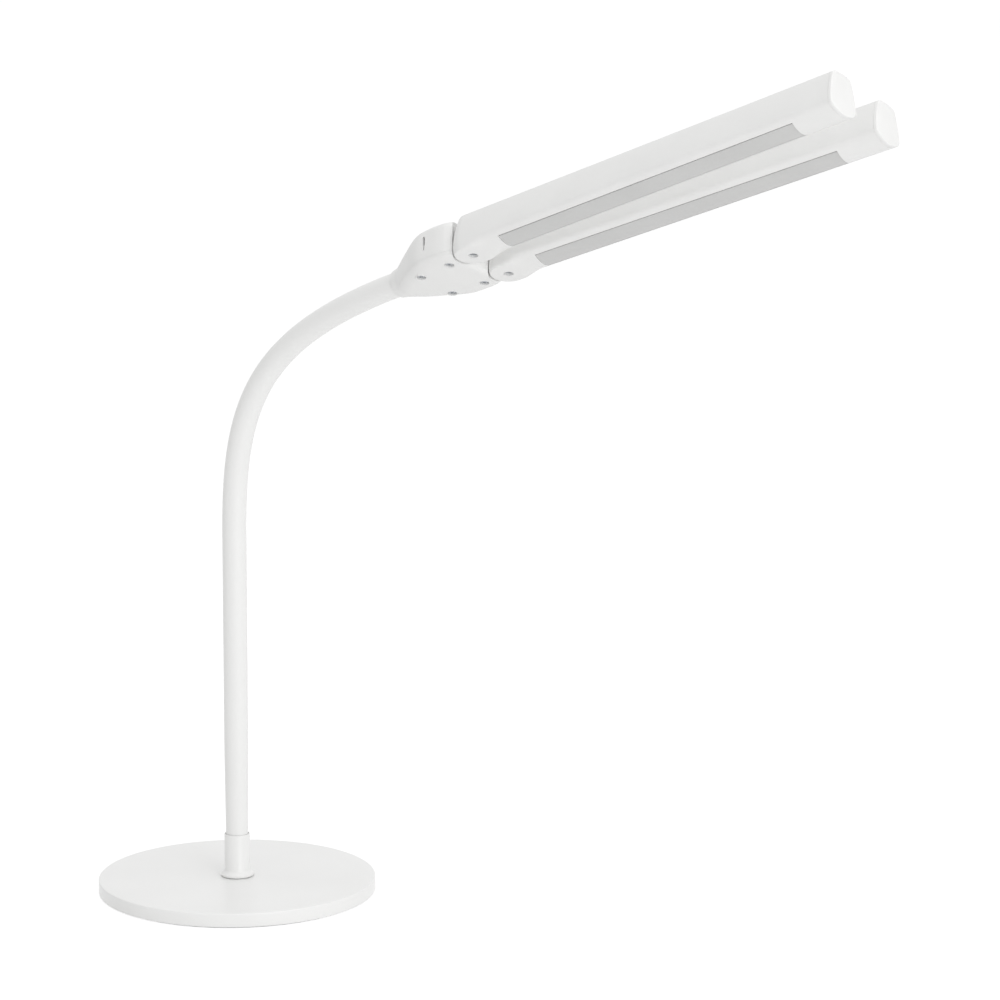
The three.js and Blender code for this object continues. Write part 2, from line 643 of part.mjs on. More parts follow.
function driverBoard() {
  const foot = plateTop + seatGap;
  const deck = foot + driver.standoff;
  const top = deck + driver.thickness;
  const middleX = (driver.fromX + driver.toX) / 2;
  const chokeShare = 0.33;
  const chokeHeightShare = 1.2;
  const chipShare = 0.25;
  const chokeRadius = driver.halfWidth * chokeShare;
  const chokeHeight = driver.standoff * chokeHeightShare;
  const chipHalf = driver.halfWidth * chipShare;
  const sheet = solid(block(driver.fromX, driver.toX, -driver.halfWidth, driver.halfWidth, deck, top));
  const posts = [-1, 1].map((side) => at(rod(driver.postRadius, foot, deck + driver.thickness / 2, boreSides),
    driver.toX - driver.postRadius, side * (driver.halfWidth - driver.postRadius)));
  const choke = at(rod(chokeRadius, top - driver.thickness / 2, top + chokeHeight, plainSides), middleX,
    chokeRadius);
  const chip = solid(block(middleX - chipHalf, middleX + chipHalf, -driver.halfWidth + chipHalf,
    -driver.halfWidth + 3 * chipHalf, top - driver.thickness / 2, top + driver.thickness));
  const plug = solid(block(driver.fromX, driver.fromX + chipHalf, -chipHalf, chipHalf,
    top - driver.thickness / 2, top + driver.standoff));
  return join(sheet, ...posts, choke, chip, plug);
}

place('driver_board', driverBoard(), boardGreen, headFrame);

// Slide switch behind the narrow slot in the hub's right wall

const grooveHalf = sliderKey.thickness / 2 + seatGap;

function switchBody() {
  const can = solid(block(switchFromX, switchToX, switchFaceY, switchBackY,
    switchLow - sideSwitch.bodyMargin, switchHigh + sideSwitch.bodyMargin));
  const ledge = solid(block(switchFromX, switchToX,
    switchBackY - seatGap, switchBackY + sideSwitch.ledgeDepth,
    plateTop + seatGap, plateTop + seatGap + sideSwitch.ledgeHeight));
  const groove = solid(block(sideSwitch.x - grooveHalf, sideSwitch.x + grooveHalf, switchFaceY - overrun,
    switchFaceY + sideSwitch.grooveDepth, switchLow, switchHigh));
  return cut(join(can, ledge), groove);
}

place('switch_body', switchBody(), darkPlastic, headFrame);
place('switch_slider', block(sideSwitch.x - sliderKey.thickness / 2, sideSwitch.x + sliderKey.thickness / 2,
  switchWallY + sliderKey.recess, switchFaceY + sideSwitch.grooveDepth - seatGap,
  switchLow + seatGap, switchLow + seatGap + sliderKey.height), whitePlastic, headFrame);

// Light bars

// Right half of a bar's cross section, from the middle of its belly to the middle of its crown.
function halfSection(inset) {
  const keelShare = 0.5;
  const crownShare = 0.93;
  const chineShare = 0.35;
  const sideMiddleZ = (bar.widestZ + bar.shoulderZ) / 2;
  const sideMiddle = (bar.halfWidth + bar.shoulderHalf) / 2 + bar.sideBow;
  const path = new THREE.Path();
  path.moveTo(0, bar.bottomZ + inset);
  path.quadraticCurveTo(bar.keelHalf * keelShare, bar.bottomZ + inset,
    bar.keelHalf - inset, bar.keelZ + inset);
  path.quadraticCurveTo(bar.halfWidth - inset, bar.keelZ + inset + (bar.widestZ - bar.keelZ) * chineShare,
    bar.halfWidth - inset, bar.widestZ);
  path.quadraticCurveTo(sideMiddle - inset, sideMiddleZ, bar.shoulderHalf - inset, bar.shoulderZ - inset);
  path.quadraticCurveTo(bar.shoulderHalf * crownShare - inset, bar.topZ - inset, 0, bar.topZ - inset);
  return path.getPoints(3);
}

function sectionAlongX(inset, fromX, toX) {
  const right = halfSection(inset);
  const left = right.slice(1, -1).reverse().map((point) => new THREE.Vector2(-point.x, point.y));
  const turnToX = new THREE.Matrix4().makeBasis(new THREE.Vector3(0, 1, 0), new THREE.Vector3(0, 0, 1),
    new THREE.Vector3(1, 0, 0));
  const outline = new THREE.Shape([...right, ...left]);
  return new THREE.ExtrudeGeometry(outline, { depth: toX - fromX, bevelEnabled: false })
    .applyMatrix4(turnToX)
    .translate(fromX, 0, 0);
}

function rootDome(inset) {
  return new THREE.LatheGeometry(halfSection(inset), 20).rotateX(Math.PI / 2);
}

function windowBlock(grow, highZ) {
  const start = windowPane.start - grow;
  const end = bar.length - windowPane.endInset + grow;
  const half = windowPane.halfWidth + grow;
  const slope = windowPane.endSlope;
  const plan = polygon([[start, -half], [end, -half], [end - slope, half], [start - slope, half]]);
  return solid(prism(plan, bar.bottomZ - overrun, highZ));
}

const housingEnd = bar.length - endCap.thickness - seatGap;
const bossTop = tongue.underZ - seatGap - pivotWasher.thickness - seatGap;
const pivotSeatZ = bar.bottomZ + pivot.headSink + pivot.headHeight;
const nutFoot = plateTop + seatGap;
const pivotTopZ = nutFoot + pivotNut.thickness + screwTip;
const boardTop = ledBoard.underZ + ledBoard.thickness;

// The slot that lets the tongue in at the back of the root, as wide as the swing needs.
function tongueSlot(side) {
  const halfAngle = Math.asin((tongue.halfWidth + tongue.clearance) / (bar.halfWidth - bar.wall));
  const inward = Math.PI - halfAngle;
  const outward = Math.PI + halfAngle + radians(bar.openDegrees);
  const far = bar.halfWidth + overrun;
  const corners = [[0, 0]];
  const steps = 6;
  for (let step = 0; step <= steps; step += 1) {
    const angle = inward + (outward - inward) * step / steps;
    corners.push([far * Math.cos(angle), -side * far * Math.sin(angle)]);
  }
  const plan = polygon(side > 0 ? corners : corners.reverse());
  return solid(prism(plan, tongue.underZ - tongue.clearance, plateTop + tongue.clearance));
}

function barHousing(side) {
  const outside = join(solid(sectionAlongX(0, 0, housingEnd)), solid(rootDome(0)));
  const inside = join(solid(sectionAlongX(bar.wall, 0, housingEnd + overrun)), solid(rootDome(bar.wall)));
  let shell = cut(outside, inside, windowBlock(0, ledBoard.underZ));
  const room = solid(sectionAlongX(bar.wall / 2, windowPane.start / 2,
    housingEnd - endCap.spigotDepth - overrun));
  const pitch = (bar.length - windowPane.start - windowPane.endInset) / rib.count;
  for (let i = 0; i < rib.count; i += 1) {
    const x = windowPane.start + pitch * (i + 1 / 2);
    const plate = solid(block(x - rib.thickness / 2, x + rib.thickness / 2, -bar.halfWidth, bar.halfWidth,
      boardTop + seatGap, bar.topZ)).intersect(room);
    shell = join(shell, plate);
  }
  const boss = solid(rod(bossRadius, bar.bottomZ + bar.wall / 2, bossTop, boreSides));
  const bore = solid(rod(pivot.screwRadius + seatGap, bar.bottomZ - overrun, bossTop + overrun, boreSides));
  const recess = solid(rod(pivot.headRadius + seatGap, bar.bottomZ - overrun, pivotSeatZ + seatGap,
    plainSides));
  return cut(join(shell, boss), bore, recess, tongueSlot(side));
}

function endCapBody() {
  const plugInset = bar.wall + seatGap;
  const plugFrom = housingEnd - endCap.spigotDepth;
  const plate = solid(sectionAlongX(0, bar.length - endCap.thickness, bar.length));
  const plug = solid(sectionAlongX(plugInset, plugFrom, bar.length - endCap.thickness / 2));
  const hollow = solid(sectionAlongX(plugInset + endCap.spigotWall, plugFrom - overrun,
    bar.length - endCap.thickness));
  return join(plate, cut(plug, hollow));
}

// A frosted pane that follows the belly, with a flange inside the housing and two rails that carry the board.
function diffuser() {
  const from = windowPane.start - windowPane.endSlope - windowPane.flange - overrun;
  const to = bar.length - windowPane.endInset + windowPane.flange + overrun;
  const belly = solid(sectionAlongX(windowPane.recess, from, to));
  const hollow = solid(sectionAlongX(bar.wall + seatGap + windowPane.thickness / 2,
    from - overrun, to + overrun));
  const pane = belly.intersect(windowBlock(-seatGap, ledBoard.underZ - overrun));
  const flangeBody = solid(sectionAlongX(bar.wall + seatGap, from, to))
    .intersect(windowBlock(windowPane.flange, ledBoard.underZ - seatGap));
  return cut(join(pane, flangeBody), hollow.intersect(windowBlock(-windowPane.thickness, ledBoard.underZ)));
}

function ledStrip() {
  const from = windowPane.start + windowPane.endSlope;
  const to = bar.length - windowPane.endInset - windowPane.endSlope;
  const pitch = (to - from) / ledBoard.ledCount;
  let strip = solid(block(from, to, -ledBoard.halfWidth, ledBoard.halfWidth, ledBoard.underZ, boardTop));
  for (let i = 0; i < ledBoard.ledCount; i += 1) {
    const x = from + pitch * (i + 1 / 2);
    strip = join(strip, solid(block(x - ledBoard.ledLength / 2, x + ledBoard.ledLength / 2,
      -ledBoard.ledWidth / 2, ledBoard.ledWidth / 2,
      ledBoard.underZ - ledBoard.ledHeight, ledBoard.underZ + ledBoard.thickness / 2)));
  }
  return strip;
}

for (const [label, side, restDegrees] of [['right', -1, 0], ['left', 1, bar.leftRestDegrees]]) {
  const frame = new THREE.Group();
  frame.position.set(0, side * pivot.spacing / 2, 0);
  frame.rotation.z = radians(side * restDegrees);
  headFrame.add(frame);
  place(`${label}_bar_housing`, barHousing(side), whitePlastic, frame);
  place(`${label}_bar_end_cap`, endCapBody(), whitePlastic, frame);
  place(`${label}_bar_diffuser`, diffuser(), frostedPane, frame);
  place(`${label}_bar_led_board`, ledStrip(), boardWhite, frame);
  place(`${label}_pivot_screw`, panScrew(pivot.screwRadius, pivot.headRadius, pivot.headHeight,
    pivotSeatZ, pivotTopZ), plainSteel, frame);
  place(`${label}_pivot_washer`, prism(ringShape(pivotWasher.radius, pivot.screwRadius + seatGap),
    bossTop + seatGap, bossTop + seatGap + pivotWasher.thickness), plainSteel, frame);
  place(`${label}_pivot_nut`, prism(hexagon(pivotNut.acrossRadius, pivot.screwRadius + seatGap), nutFoot,
    nutFoot + pivotNut.thickness), plainSteel, frame);
}

export default lamp;
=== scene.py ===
# White LED table lamp: weighted disc base, sleeved gooseneck, fan-shaped hub and two swinging light bars.
# Everything is in metres in the lamp's own frame; sizes in the dictionaries are millimetres.
import json
import math

import bmesh
import bpy
from mathutils import Matrix, Vector
from mathutils.geometry import interpolate_bezier


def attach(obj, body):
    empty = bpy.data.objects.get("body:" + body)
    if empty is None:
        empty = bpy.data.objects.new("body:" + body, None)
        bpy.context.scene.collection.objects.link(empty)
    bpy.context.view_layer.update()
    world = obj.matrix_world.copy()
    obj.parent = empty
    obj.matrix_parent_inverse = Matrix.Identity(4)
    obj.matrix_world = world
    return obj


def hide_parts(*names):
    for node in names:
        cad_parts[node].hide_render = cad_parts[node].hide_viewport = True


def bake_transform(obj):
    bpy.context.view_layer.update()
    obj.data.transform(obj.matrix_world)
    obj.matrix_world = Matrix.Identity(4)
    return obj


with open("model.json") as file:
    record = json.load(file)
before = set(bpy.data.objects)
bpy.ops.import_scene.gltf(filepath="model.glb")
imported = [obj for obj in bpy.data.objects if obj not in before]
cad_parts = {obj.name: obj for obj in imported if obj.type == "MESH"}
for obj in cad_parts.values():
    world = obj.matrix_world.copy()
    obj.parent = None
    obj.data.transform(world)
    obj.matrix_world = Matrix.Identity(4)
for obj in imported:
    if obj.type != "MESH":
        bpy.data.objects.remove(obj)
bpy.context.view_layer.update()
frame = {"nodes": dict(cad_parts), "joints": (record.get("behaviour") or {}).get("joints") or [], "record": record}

mm = 0.001
mergeGap = 0.002 * mm  # points closer than this become one
scene = bpy.context.scene
print("frame loaded:", len(frame["nodes"]), "nodes")

# Camera

cameraSetup = {
    "place": (1.4917, -1.7316, 0.6492),
    "turnDegrees": 35.99,  # to the left of +Y
    "downDegrees": 9.04,
    "rollDegrees": 0.22,
    "lens": 116.6,
    "sensor": 36,
    "clipStart": 0.05,
    "clipEnd": 900,
}


def addCamera(setup):
    turn, down, roll = (math.radians(setup[key]) for key in ("turnDegrees", "downDegrees", "rollDegrees"))
    ahead = Vector((-math.sin(turn) * math.cos(down), math.cos(turn) * math.cos(down), -math.sin(down)))
    level = Vector((math.cos(turn), math.sin(turn), 0))
    up = level.cross(ahead)
    right = level * math.cos(roll) + up * math.sin(roll)
    up = up * math.cos(roll) - level * math.sin(roll)
    data = bpy.data.cameras.new("photoCamera")
    data.lens = setup["lens"]
    data.sensor_width = setup["sensor"]
    data.clip_start = setup["clipStart"]
    data.clip_end = setup["clipEnd"]
    camera = bpy.data.objects.new("photoCamera", data)
    camera.matrix_world = axesMatrix(right, up, -ahead, Vector(setup["place"]))
    scene.collection.objects.link(camera)
    scene.camera = camera
    return camera


def axesMatrix(xAxis, yAxis, zAxis, origin):
    turned = Matrix((xAxis, yAxis, zAxis)).transposed().to_4x4()
    return Matrix.Translation(origin) @ turned


addCamera(cameraSetup)

# Places from the frame: the head's own axes, and one frame for each bar

joints = {joint["name"]: joint for joint in frame["joints"]}
barAngles = {"right": 0, "left": 2.4}  # how far each bar stands open at rest
alongBars = Vector(joints["head_turn"]["axis"]).normalized()
upFromBars = Vector(joints["left_bar_swing"]["axis"]).normalized()
acrossBars = upFromBars.cross(alongBars).normalized()
pivots = {side: Vector(joints[side + "_bar_swing"]["pos_m"]) for side in barAngles}
headPlace = axesMatrix(alongBars, acrossBars, upFromBars, (pivots["right"] + pivots["left"]) / 2)


def barPlace(side):
    turn = Matrix.Rotation(math.radians(barAngles[side]), 4, "Z")
    return axesMatrix(alongBars, acrossBars, upFromBars, pivots[side]) @ turn


# Materials

def linear(hexColour):
    parts = [int(hexColour[i:i + 2], 16) / 255 for i in (1, 3, 5)]
    return [p / 12.92 if p <= 0.04045 else ((p + 0.055) / 1.055) ** 2.4 for p in parts] + [1]


def addNode(tree, kind, settings=None, links=None):
    node = tree.nodes.new(kind)
    for key, value in (settings or {}).items():
        if isinstance(key, int) or key in node.inputs:
            node.inputs[key].default_value = value
        else:
            setattr(node, key, value)
    for socket, source in (links or {}).items():
        tree.links.new(source, node.inputs[socket])
    return node


def startMaterial(name, settings):
    material = bpy.data.materials.new(name)
    material.use_nodes = True
    tree = material.node_tree
    tree.nodes.clear()
    shader = addNode(tree, "ShaderNodeBsdfPrincipled", settings)
    addNode(tree, "ShaderNodeOutputMaterial", links={"Surface": shader.outputs["BSDF"]})
    place = addNode(tree, "ShaderNodeTexCoord").outputs["Object"]
    return material, tree, shader, place


def addNoise(tree, place, sizeMm, detail):
    settings = {"Scale": 1 / (sizeMm * mm), "Detail": detail}
    return addNode(tree, "ShaderNodeTexNoise", settings, {"Vector": place}).outputs["Fac"]


# Colour that drifts between two near shades, as real mouldings and paint do.
def driftingColour(tree, shader, place, light, dark, patchMm):
    ramp = addNode(tree, "ShaderNodeValToRGB", links={"Fac": addNoise(tree, place, patchMm, 2)})
    for stop, position, shade in zip(ramp.color_ramp.elements, (0.35, 0.65), (dark, light)):
        stop.position = position
        stop.color = linear(shade)
    tree.links.new(ramp.outputs["Color"], shader.inputs["Base Color"])


def driftingRoughness(tree, shader, place, low, high, patchMm):
    span = addNode(tree, "ShaderNodeMapRange", {"To Min": low, "To Max": high},
                   {"Value": addNoise(tree, place, patchMm, 3)})
    tree.links.new(span.outputs["Result"], shader.inputs["Roughness"])


# Fine grain that only turns the light.
def addBump(tree, shader, height, heightMm, strength=1):
    settings = {"Strength": strength, "Distance": heightMm * mm}
    bump = addNode(tree, "ShaderNodeBump", settings, {"Height": height})
    tree.links.new(bump.outputs["Normal"], shader.inputs["Normal"])


def fineBump(tree, shader, place, grainMm, heightMm, detail=3):
    addBump(tree, shader, addNoise(tree, place, grainMm, detail), heightMm)


# Powder coat on pressed steel: a soft gloss over a very slight orange peel.
def powderCoat():
    material, tree, shader, place = startMaterial("powderCoat", {"IOR": 1.5, "Metallic": 0})
    driftingColour(tree, shader, place, light="#f2f2f1", dark="#efefee", patchMm=90)
    driftingRoughness(tree, shader, place, low=0.28, high=0.31, patchMm=40)
    fineBump(tree, shader, place, grainMm=2.4, heightMm=0.004)  # orange peel waves are about 2 mm across
    return material


# Moulded ABS: a satin skin from a finely eroded mould.
def mouldedAbs():
    material, tree, shader, place = startMaterial("mouldedAbs", {"IOR": 1.54, "Metallic": 0})
    driftingColour(tree, shader, place, light="#eeeeed", dark="#ececeb", patchMm=25)
    driftingRoughness(tree, shader, place, low=0.42, high=0.5, patchMm=8)
    fineBump(tree, shader, place, grainMm=0.45, heightMm=0.006)  # real grain is 0.1 mm, too fine to show
    return material


# Extruded soft PVC tubing: smoother and a little duller than the hub.
def pvcSleeve():
    material, tree, shader, place = startMaterial("pvcSleeve", {"IOR": 1.53, "Metallic": 0})
    driftingColour(tree, shader, place, light="#f1f1f0", dark="#f0f0ef", patchMm=60)
    driftingRoughness(tree, shader, place, low=0.42, high=0.48, patchMm=20)
    fineBump(tree, shader, place, grainMm=3, heightMm=0.004)  # slow waves left by the extruder
    return material


# Frosted acrylic, unlit: an even, dull grey.
def frostedAcrylic():
    material, tree, shader, place = startMaterial("frostedAcrylic", {"IOR": 1.49, "Metallic": 0})
    driftingColour(tree, shader, place, light="#cececd", dark="#cbcbca", patchMm=40)
    driftingRoughness(tree, shader, place, low=0.5, high=0.58, patchMm=6)
    fineBump(tree, shader, place, grainMm=0.5, heightMm=0.006)  # the frost, drawn a few times its size
    return material


# Zinc-plated steel: a cool grey with fine brushing along one way.
def zincPlate():
    material, tree, shader, place = startMaterial("zincPlate", {"Metallic": 1})
    driftingColour(tree, shader, place, light="#c9cbce", dark="#bfc2c6", patchMm=4)
    driftingRoughness(tree, shader, place, low=0.36, high=0.46, patchMm=2)
    stretch = addNode(tree, "ShaderNodeMapping", {"Scale": (1, 1, 12)}, {"Vector": place})
    fineBump(tree, shader, stretch.outputs["Vector"], grainMm=2, heightMm=0.004)
    return material


# Grey cast iron: dark, rough and pitted from the sand.
def castIron():
    material, tree, shader, place = startMaterial("castIron", {"Metallic": 0.7})
    driftingColour(tree, shader, place, light="#64656a", dark="#4e4f53", patchMm=6)
    driftingRoughness(tree, shader, place, low=0.6, high=0.8, patchMm=3)
    fineBump(tree, shader, place, grainMm=1.1, heightMm=0.08, detail=5)
    return material


# Sponge rubber: matt black-brown with open pores.
def spongeRubber():
    material, tree, shader, place = startMaterial("spongeRubber", {"IOR": 1.52, "Metallic": 0})
    driftingColour(tree, shader, place, light="#37383a", dark="#2c2d2f", patchMm=8)
    driftingRoughness(tree, shader, place, low=0.8, high=0.92, patchMm=4)
    fineBump(tree, shader, place, grainMm=0.7, heightMm=0.05, detail=4)
    return material


# White solder mask over an aluminium strip.
def solderMask():
    material, tree, shader, place = startMaterial("solderMask", {"IOR": 1.5, "Metallic": 0})
    driftingColour(tree, shader, place, light="#ececea", dark="#e3e4e1", patchMm=10)
    driftingRoughness(tree, shader, place, low=0.35, high=0.45, patchMm=5)
    fineBump(tree, shader, place, grainMm=0.8, heightMm=0.006)
    return material


# Glass-epoxy board: green lacquer with the weave of the glass just showing.
def glassEpoxy():
    material, tree, shader, place = startMaterial("glassEpoxy", {"IOR": 1.5, "Metallic": 0})
    driftingColour(tree, shader, place, light="#2f7a4c", dark="#27653f", patchMm=5)
    driftingRoughness(tree, shader, place, low=0.3, high=0.42, patchMm=3)
    threadMm = 3
    weave = addNode(tree, "ShaderNodeTexWave", {"Scale": 1 / (threadMm * mm), "Distortion": 0.4},
                    {"Vector": place})
    addBump(tree, shader, weave.outputs["Fac"], heightMm=0.02, strength=0.4)
    return material


# Black moulded nylon, as on small switches.
def blackNylon():
    material, tree, shader, place = startMaterial("blackNylon", {"IOR": 1.53, "Metallic": 0})
    driftingColour(tree, shader, place, light="#2b2c2e", dark="#232426", patchMm=4)
    driftingRoughness(tree, shader, place, low=0.45, high=0.6, patchMm=3)
    fineBump(tree, shader, place, grainMm=0.4, heightMm=0.01)
    return material


finishes = {
    "white_paint": powderCoat(),
    "white_plastic": mouldedAbs(),
    "white_sleeve": pvcSleeve(),
    "frosted_acrylic": frostedAcrylic(),
    "plain_steel": zincPlate(),
    "grey_iron": castIron(),
    "rubber_pad": spongeRubber(),
    "led_board": solderMask(),
    "driver_board": glassEpoxy(),
    "dark_plastic": blackNylon(),
}
slotOfNode = {part["node"]: part["material_slot"] for part in frame["record"]["subparts"]}
for node, cadPiece in frame["nodes"].items():
    finish = finishes[slotOfNode[node]]
    if cadPiece.material_slots:
        cadPiece.material_slots[0].material = finish
    else:
        cadPiece.data.materials.append(finish)
print("materials made:", len(finishes))

# Modelling helpers

def arc(centreX, centreY, radius, fromDegrees, toDegrees, steps=4):
    angles = [math.radians(fromDegrees + (toDegrees - fromDegrees) * i / steps) for i in range(steps + 1)]
    return [(centreX + radius * math.cos(a), centreY + radius * math.sin(a)) for a in angles]


# A curve from start to end that leans towards the control point.
def bendThrough(start, control, end, steps):
    first, last = (Vector((*p, 0)) for p in (start, end))
    pull = Vector((*control, 0))
    points = interpolate_bezier(first, first.lerp(pull, 2 / 3), last.lerp(pull, 2 / 3), last, steps + 1)
    return [(p.x, p.y) for p in points]


def joinedEdges(bm, verts, closed):
    edges = [bm.edges.new(pair) for pair in zip(verts, verts[1:])]
    if closed:
        edges.append(bm.edges.new((verts[-1], verts[0])))
    return edges


# A profile of (radius, height) points spun about the Z axis.
def spunShape(profile, steps=48, closed=True):
    bm = bmesh.new()
    verts = [bm.verts.new((radius * mm, 0, height * mm)) for radius, height in profile]
    edges = joinedEdges(bm, verts, closed)
    bmesh.ops.spin(bm, geom=verts + edges, cent=(0, 0, 0), axis=(0, 0, 1), dvec=(0, 0, 0),
                   angle=2 * math.pi, steps=steps, use_merge=True, use_duplicate=False)
    return bm


def makePiece(name, bm, place=None, sharpDegrees=35):
    bmesh.ops.remove_doubles(bm, verts=bm.verts, dist=mergeGap)
    bmesh.ops.recalc_face_normals(bm, faces=bm.faces)
    if place is not None:
        bmesh.ops.transform(bm, matrix=place, verts=bm.verts)
    mesh = bpy.data.meshes.new(name)
    bm.to_mesh(mesh)
    bm.free()
    piece = bpy.data.objects.new(name, mesh)
    scene.collection.objects.link(piece)
    softenShading(piece, sharpDegrees)
    return piece


def softenShading(piece, sharpDegrees):
    piece.data.polygons.foreach_set("use_smooth", [True] * len(piece.data.polygons))
    piece.data.set_sharp_from_angle(angle=math.radians(sharpDegrees))


# Cuts the tools out of a piece and leaves one plain mesh.
def carve(piece, tools, sharpDegrees=35):
    for tool in tools:
        cutter = piece.modifiers.new("cut", "BOOLEAN")
        cutter.operation = "DIFFERENCE"
        cutter.solver = "EXACT"
        cutter.object = tool
    bpy.context.view_layer.update()
    carved = bpy.data.meshes.new_from_object(piece.evaluated_get(bpy.context.evaluated_depsgraph_get()))
    piece.modifiers.clear()
    piece.data = carved
    for tool in tools:
        bpy.data.objects.remove(tool)
    softenShading(piece, sharpDegrees)
    return piece


def cuttingBlock(low, high, place, bevelMm=0):
    bm = bmesh.new()
    bmesh.ops.create_cube(bm, size=1)
    size = [(b - a) * mm for a, b in zip(low, high)]
    middle = [(a + b) / 2 * mm for a, b in zip(low, high)]
    bmesh.ops.scale(bm, vec=size, verts=bm.verts)
    bmesh.ops.translate(bm, vec=middle, verts=bm.verts)
    if bevelMm:
        bmesh.ops.bevel(bm, geom=bm.edges[:], offset=bevelMm * mm, offset_type="OFFSET", segments=3,
                        profile=0.5, affect="EDGES", material=-1)
    return makePiece("cuttingBlock", bm, place)


def cuttingRod(radius, fromZ, toZ, x, y, place, steps=48):
    bm = spunShape([(0, fromZ), (radius, fromZ), (radius, toZ), (0, toZ)], steps, closed=False)
    bmesh.ops.translate(bm, vec=(x * mm, y * mm, 0), verts=bm.verts)
    return makePiece("cuttingRod", bm, place)


def dress(piece, slotName, body=None, replaced=()):
    piece.data.materials.clear()
    piece.data.materials.append(finishes[slotName])
    if replaced:
        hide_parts(*replaced)
    if body:
        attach(piece, body)
    return piece


# Base: a pressed cover with a turned-down skirt, the collar and the cord bush

baseSizes = {
    "radius": 100, "height": 10.6, "wall": 2, "skirtLift": 0.8, "edgeRound": 0.9, "edgeSteps": 8,
    "lowerRound": 0.5, "edgeBand": 12, "hole": 5.3, "steps": 160,
}


# The points inside the edge band keep the shading of the round edge off the flat top.
def baseCover(s):
    under = s["height"] - s["wall"]
    inside = s["radius"] - s["wall"]
    profile = [(s["hole"], under), (inside, under), (inside, s["skirtLift"])]
    profile += arc(s["radius"] - s["lowerRound"], s["skirtLift"] + s["lowerRound"], s["lowerRound"], -90, 0)
    profile += arc(s["radius"] - s["edgeRound"], s["height"] - s["edgeRound"], s["edgeRound"], 0, 90,
                   s["edgeSteps"])
    profile += [(s["radius"] - s["edgeBand"], s["height"]), (s["hole"], s["height"])]
    return makePiece("baseDiscCover", spunShape(profile, s["steps"]))


dress(baseCover(baseSizes), "white_paint", "base", ["base_cover"])

collarSizes = {
    "foot": 10.9, "top": 42, "radius": 9.2, "wall": 0.75, "flareRadius": 12.3, "flareTop": 15.6, "lip": 1.7,
    "flareBow": 0.5, "flareRise": 1.3, "flareSteps": 10, "tuckRadius": 11.2, "tuckBow": 0.3, "tuckSteps": 6,
    "topRound": 0.35, "steps": 96,
}


# A straight tube whose foot flares out to a soft edge and tucks in again under it.
def neckCollar(s):
    innerRadius = s["radius"] - s["wall"]
    lipTop = s["foot"] + s["lip"]
    under = bendThrough((s["tuckRadius"], s["foot"]), (s["flareRadius"], s["foot"] + s["tuckBow"]),
                        (s["flareRadius"], lipTop), s["tuckSteps"])
    flare = bendThrough((s["flareRadius"], lipTop), (s["radius"] + s["flareBow"], lipTop + s["flareRise"]),
                        (s["radius"], s["flareTop"]), s["flareSteps"])
    inner = [(r - s["wall"], z) for r, z in flare]
    profile = [(s["tuckRadius"] - s["wall"], s["foot"])] + under + flare[1:]
    profile += arc(s["radius"] - s["topRound"], s["top"] - s["topRound"], s["topRound"], 0, 90)
    profile += [(innerRadius, s["top"])] + inner[::-1]
    return makePiece("neckFootCollar", spunShape(profile, s["steps"]))


dress(neckCollar(collarSizes), "white_paint", "base", ["collar"])

glandSizes = {
    "flangeRadius": 3.9, "flangeThickness": 1.2, "boreRadius": 1.9, "wall": 0.9, "insideLength": 5,
    "round": 0.4, "faceX": -100.3, "height": 5,
}


# A flanged bush for the cord, in the rear of the skirt.
def cordBush(s):
    face = s["flangeThickness"]
    tube = s["boreRadius"] + s["wall"]
    profile = [(s["boreRadius"], -s["insideLength"]), (tube, -s["insideLength"]), (tube, 0),
               (s["flangeRadius"], 0)]
    profile += arc(s["flangeRadius"] - s["round"], face - s["round"], s["round"], 0, 90)
    profile += arc(s["boreRadius"] + s["round"], face - s["round"], s["round"], 90, 180)
    facingRear = Matrix.Rotation(-math.pi / 2, 4, "Y")
    toRear = Matrix.Translation((s["faceX"] * mm, 0, s["height"] * mm)) @ facingRear
    return makePiece("cordBush", spunShape(profile), toRear)


dress(cordBush(glandSizes), "white_plastic", "base", ["cord_gland"])
print("base made")

# Gooseneck sleeve: one smooth tube in two pieces that meet in the middle of the neck

neckSizes = {
    "foot": 14.2, "radius": 8.6, "footRadius": 8, "wall": 1.9, "taperStart": 45, "taperEnd": 105,
    "straightTop": 261, "straightSteps": 60, "curveSteps": 70, "lowerPull": 92, "upperPull": 135,
    "endX": 146.8, "endZ": 448, "tiltDegrees": 19.7, "inHub": 8, "sides": 64, "seam": 255,
}


# Each station: its place, how far the neck leans there, and its radius.
def neckStations(s):
    tilt = math.radians(s["tiltDegrees"])
    end = Vector((s["endX"], 0, s["endZ"]))
    ahead = Vector((math.cos(tilt), 0, math.sin(tilt)))
    rise, count = s["straightTop"] - s["foot"], s["straightSteps"]
    straight = [Vector((0, 0, s["foot"] + rise * i / count)) for i in range(count)]
    bendStart = Vector((0, 0, s["straightTop"]))
    curved = interpolate_bezier(bendStart, Vector((0, 0, s["straightTop"] + s["lowerPull"])),
                                end - ahead * s["upperPull"], end, s["curveSteps"])
    points = straight + curved + [end + ahead * s["inHub"]]
    stations = []
    for i, point in enumerate(points):
        before, after = points[max(i - 1, 0)], points[min(i + 1, len(points) - 1)]
        lean = math.atan2(after.x - before.x, after.z - before.z)
        share = min(max((point.z - s["taperStart"]) / (s["taperEnd"] - s["taperStart"]), 0), 1)
        radius = s["footRadius"] + (s["radius"] - s["footRadius"]) * share
        stations.append((point, lean, radius))
    stations[0] = (stations[0][0], 0, stations[0][2])
    stations[-1] = (stations[-1][0], math.pi / 2 - tilt, stations[-1][2])
    return stations


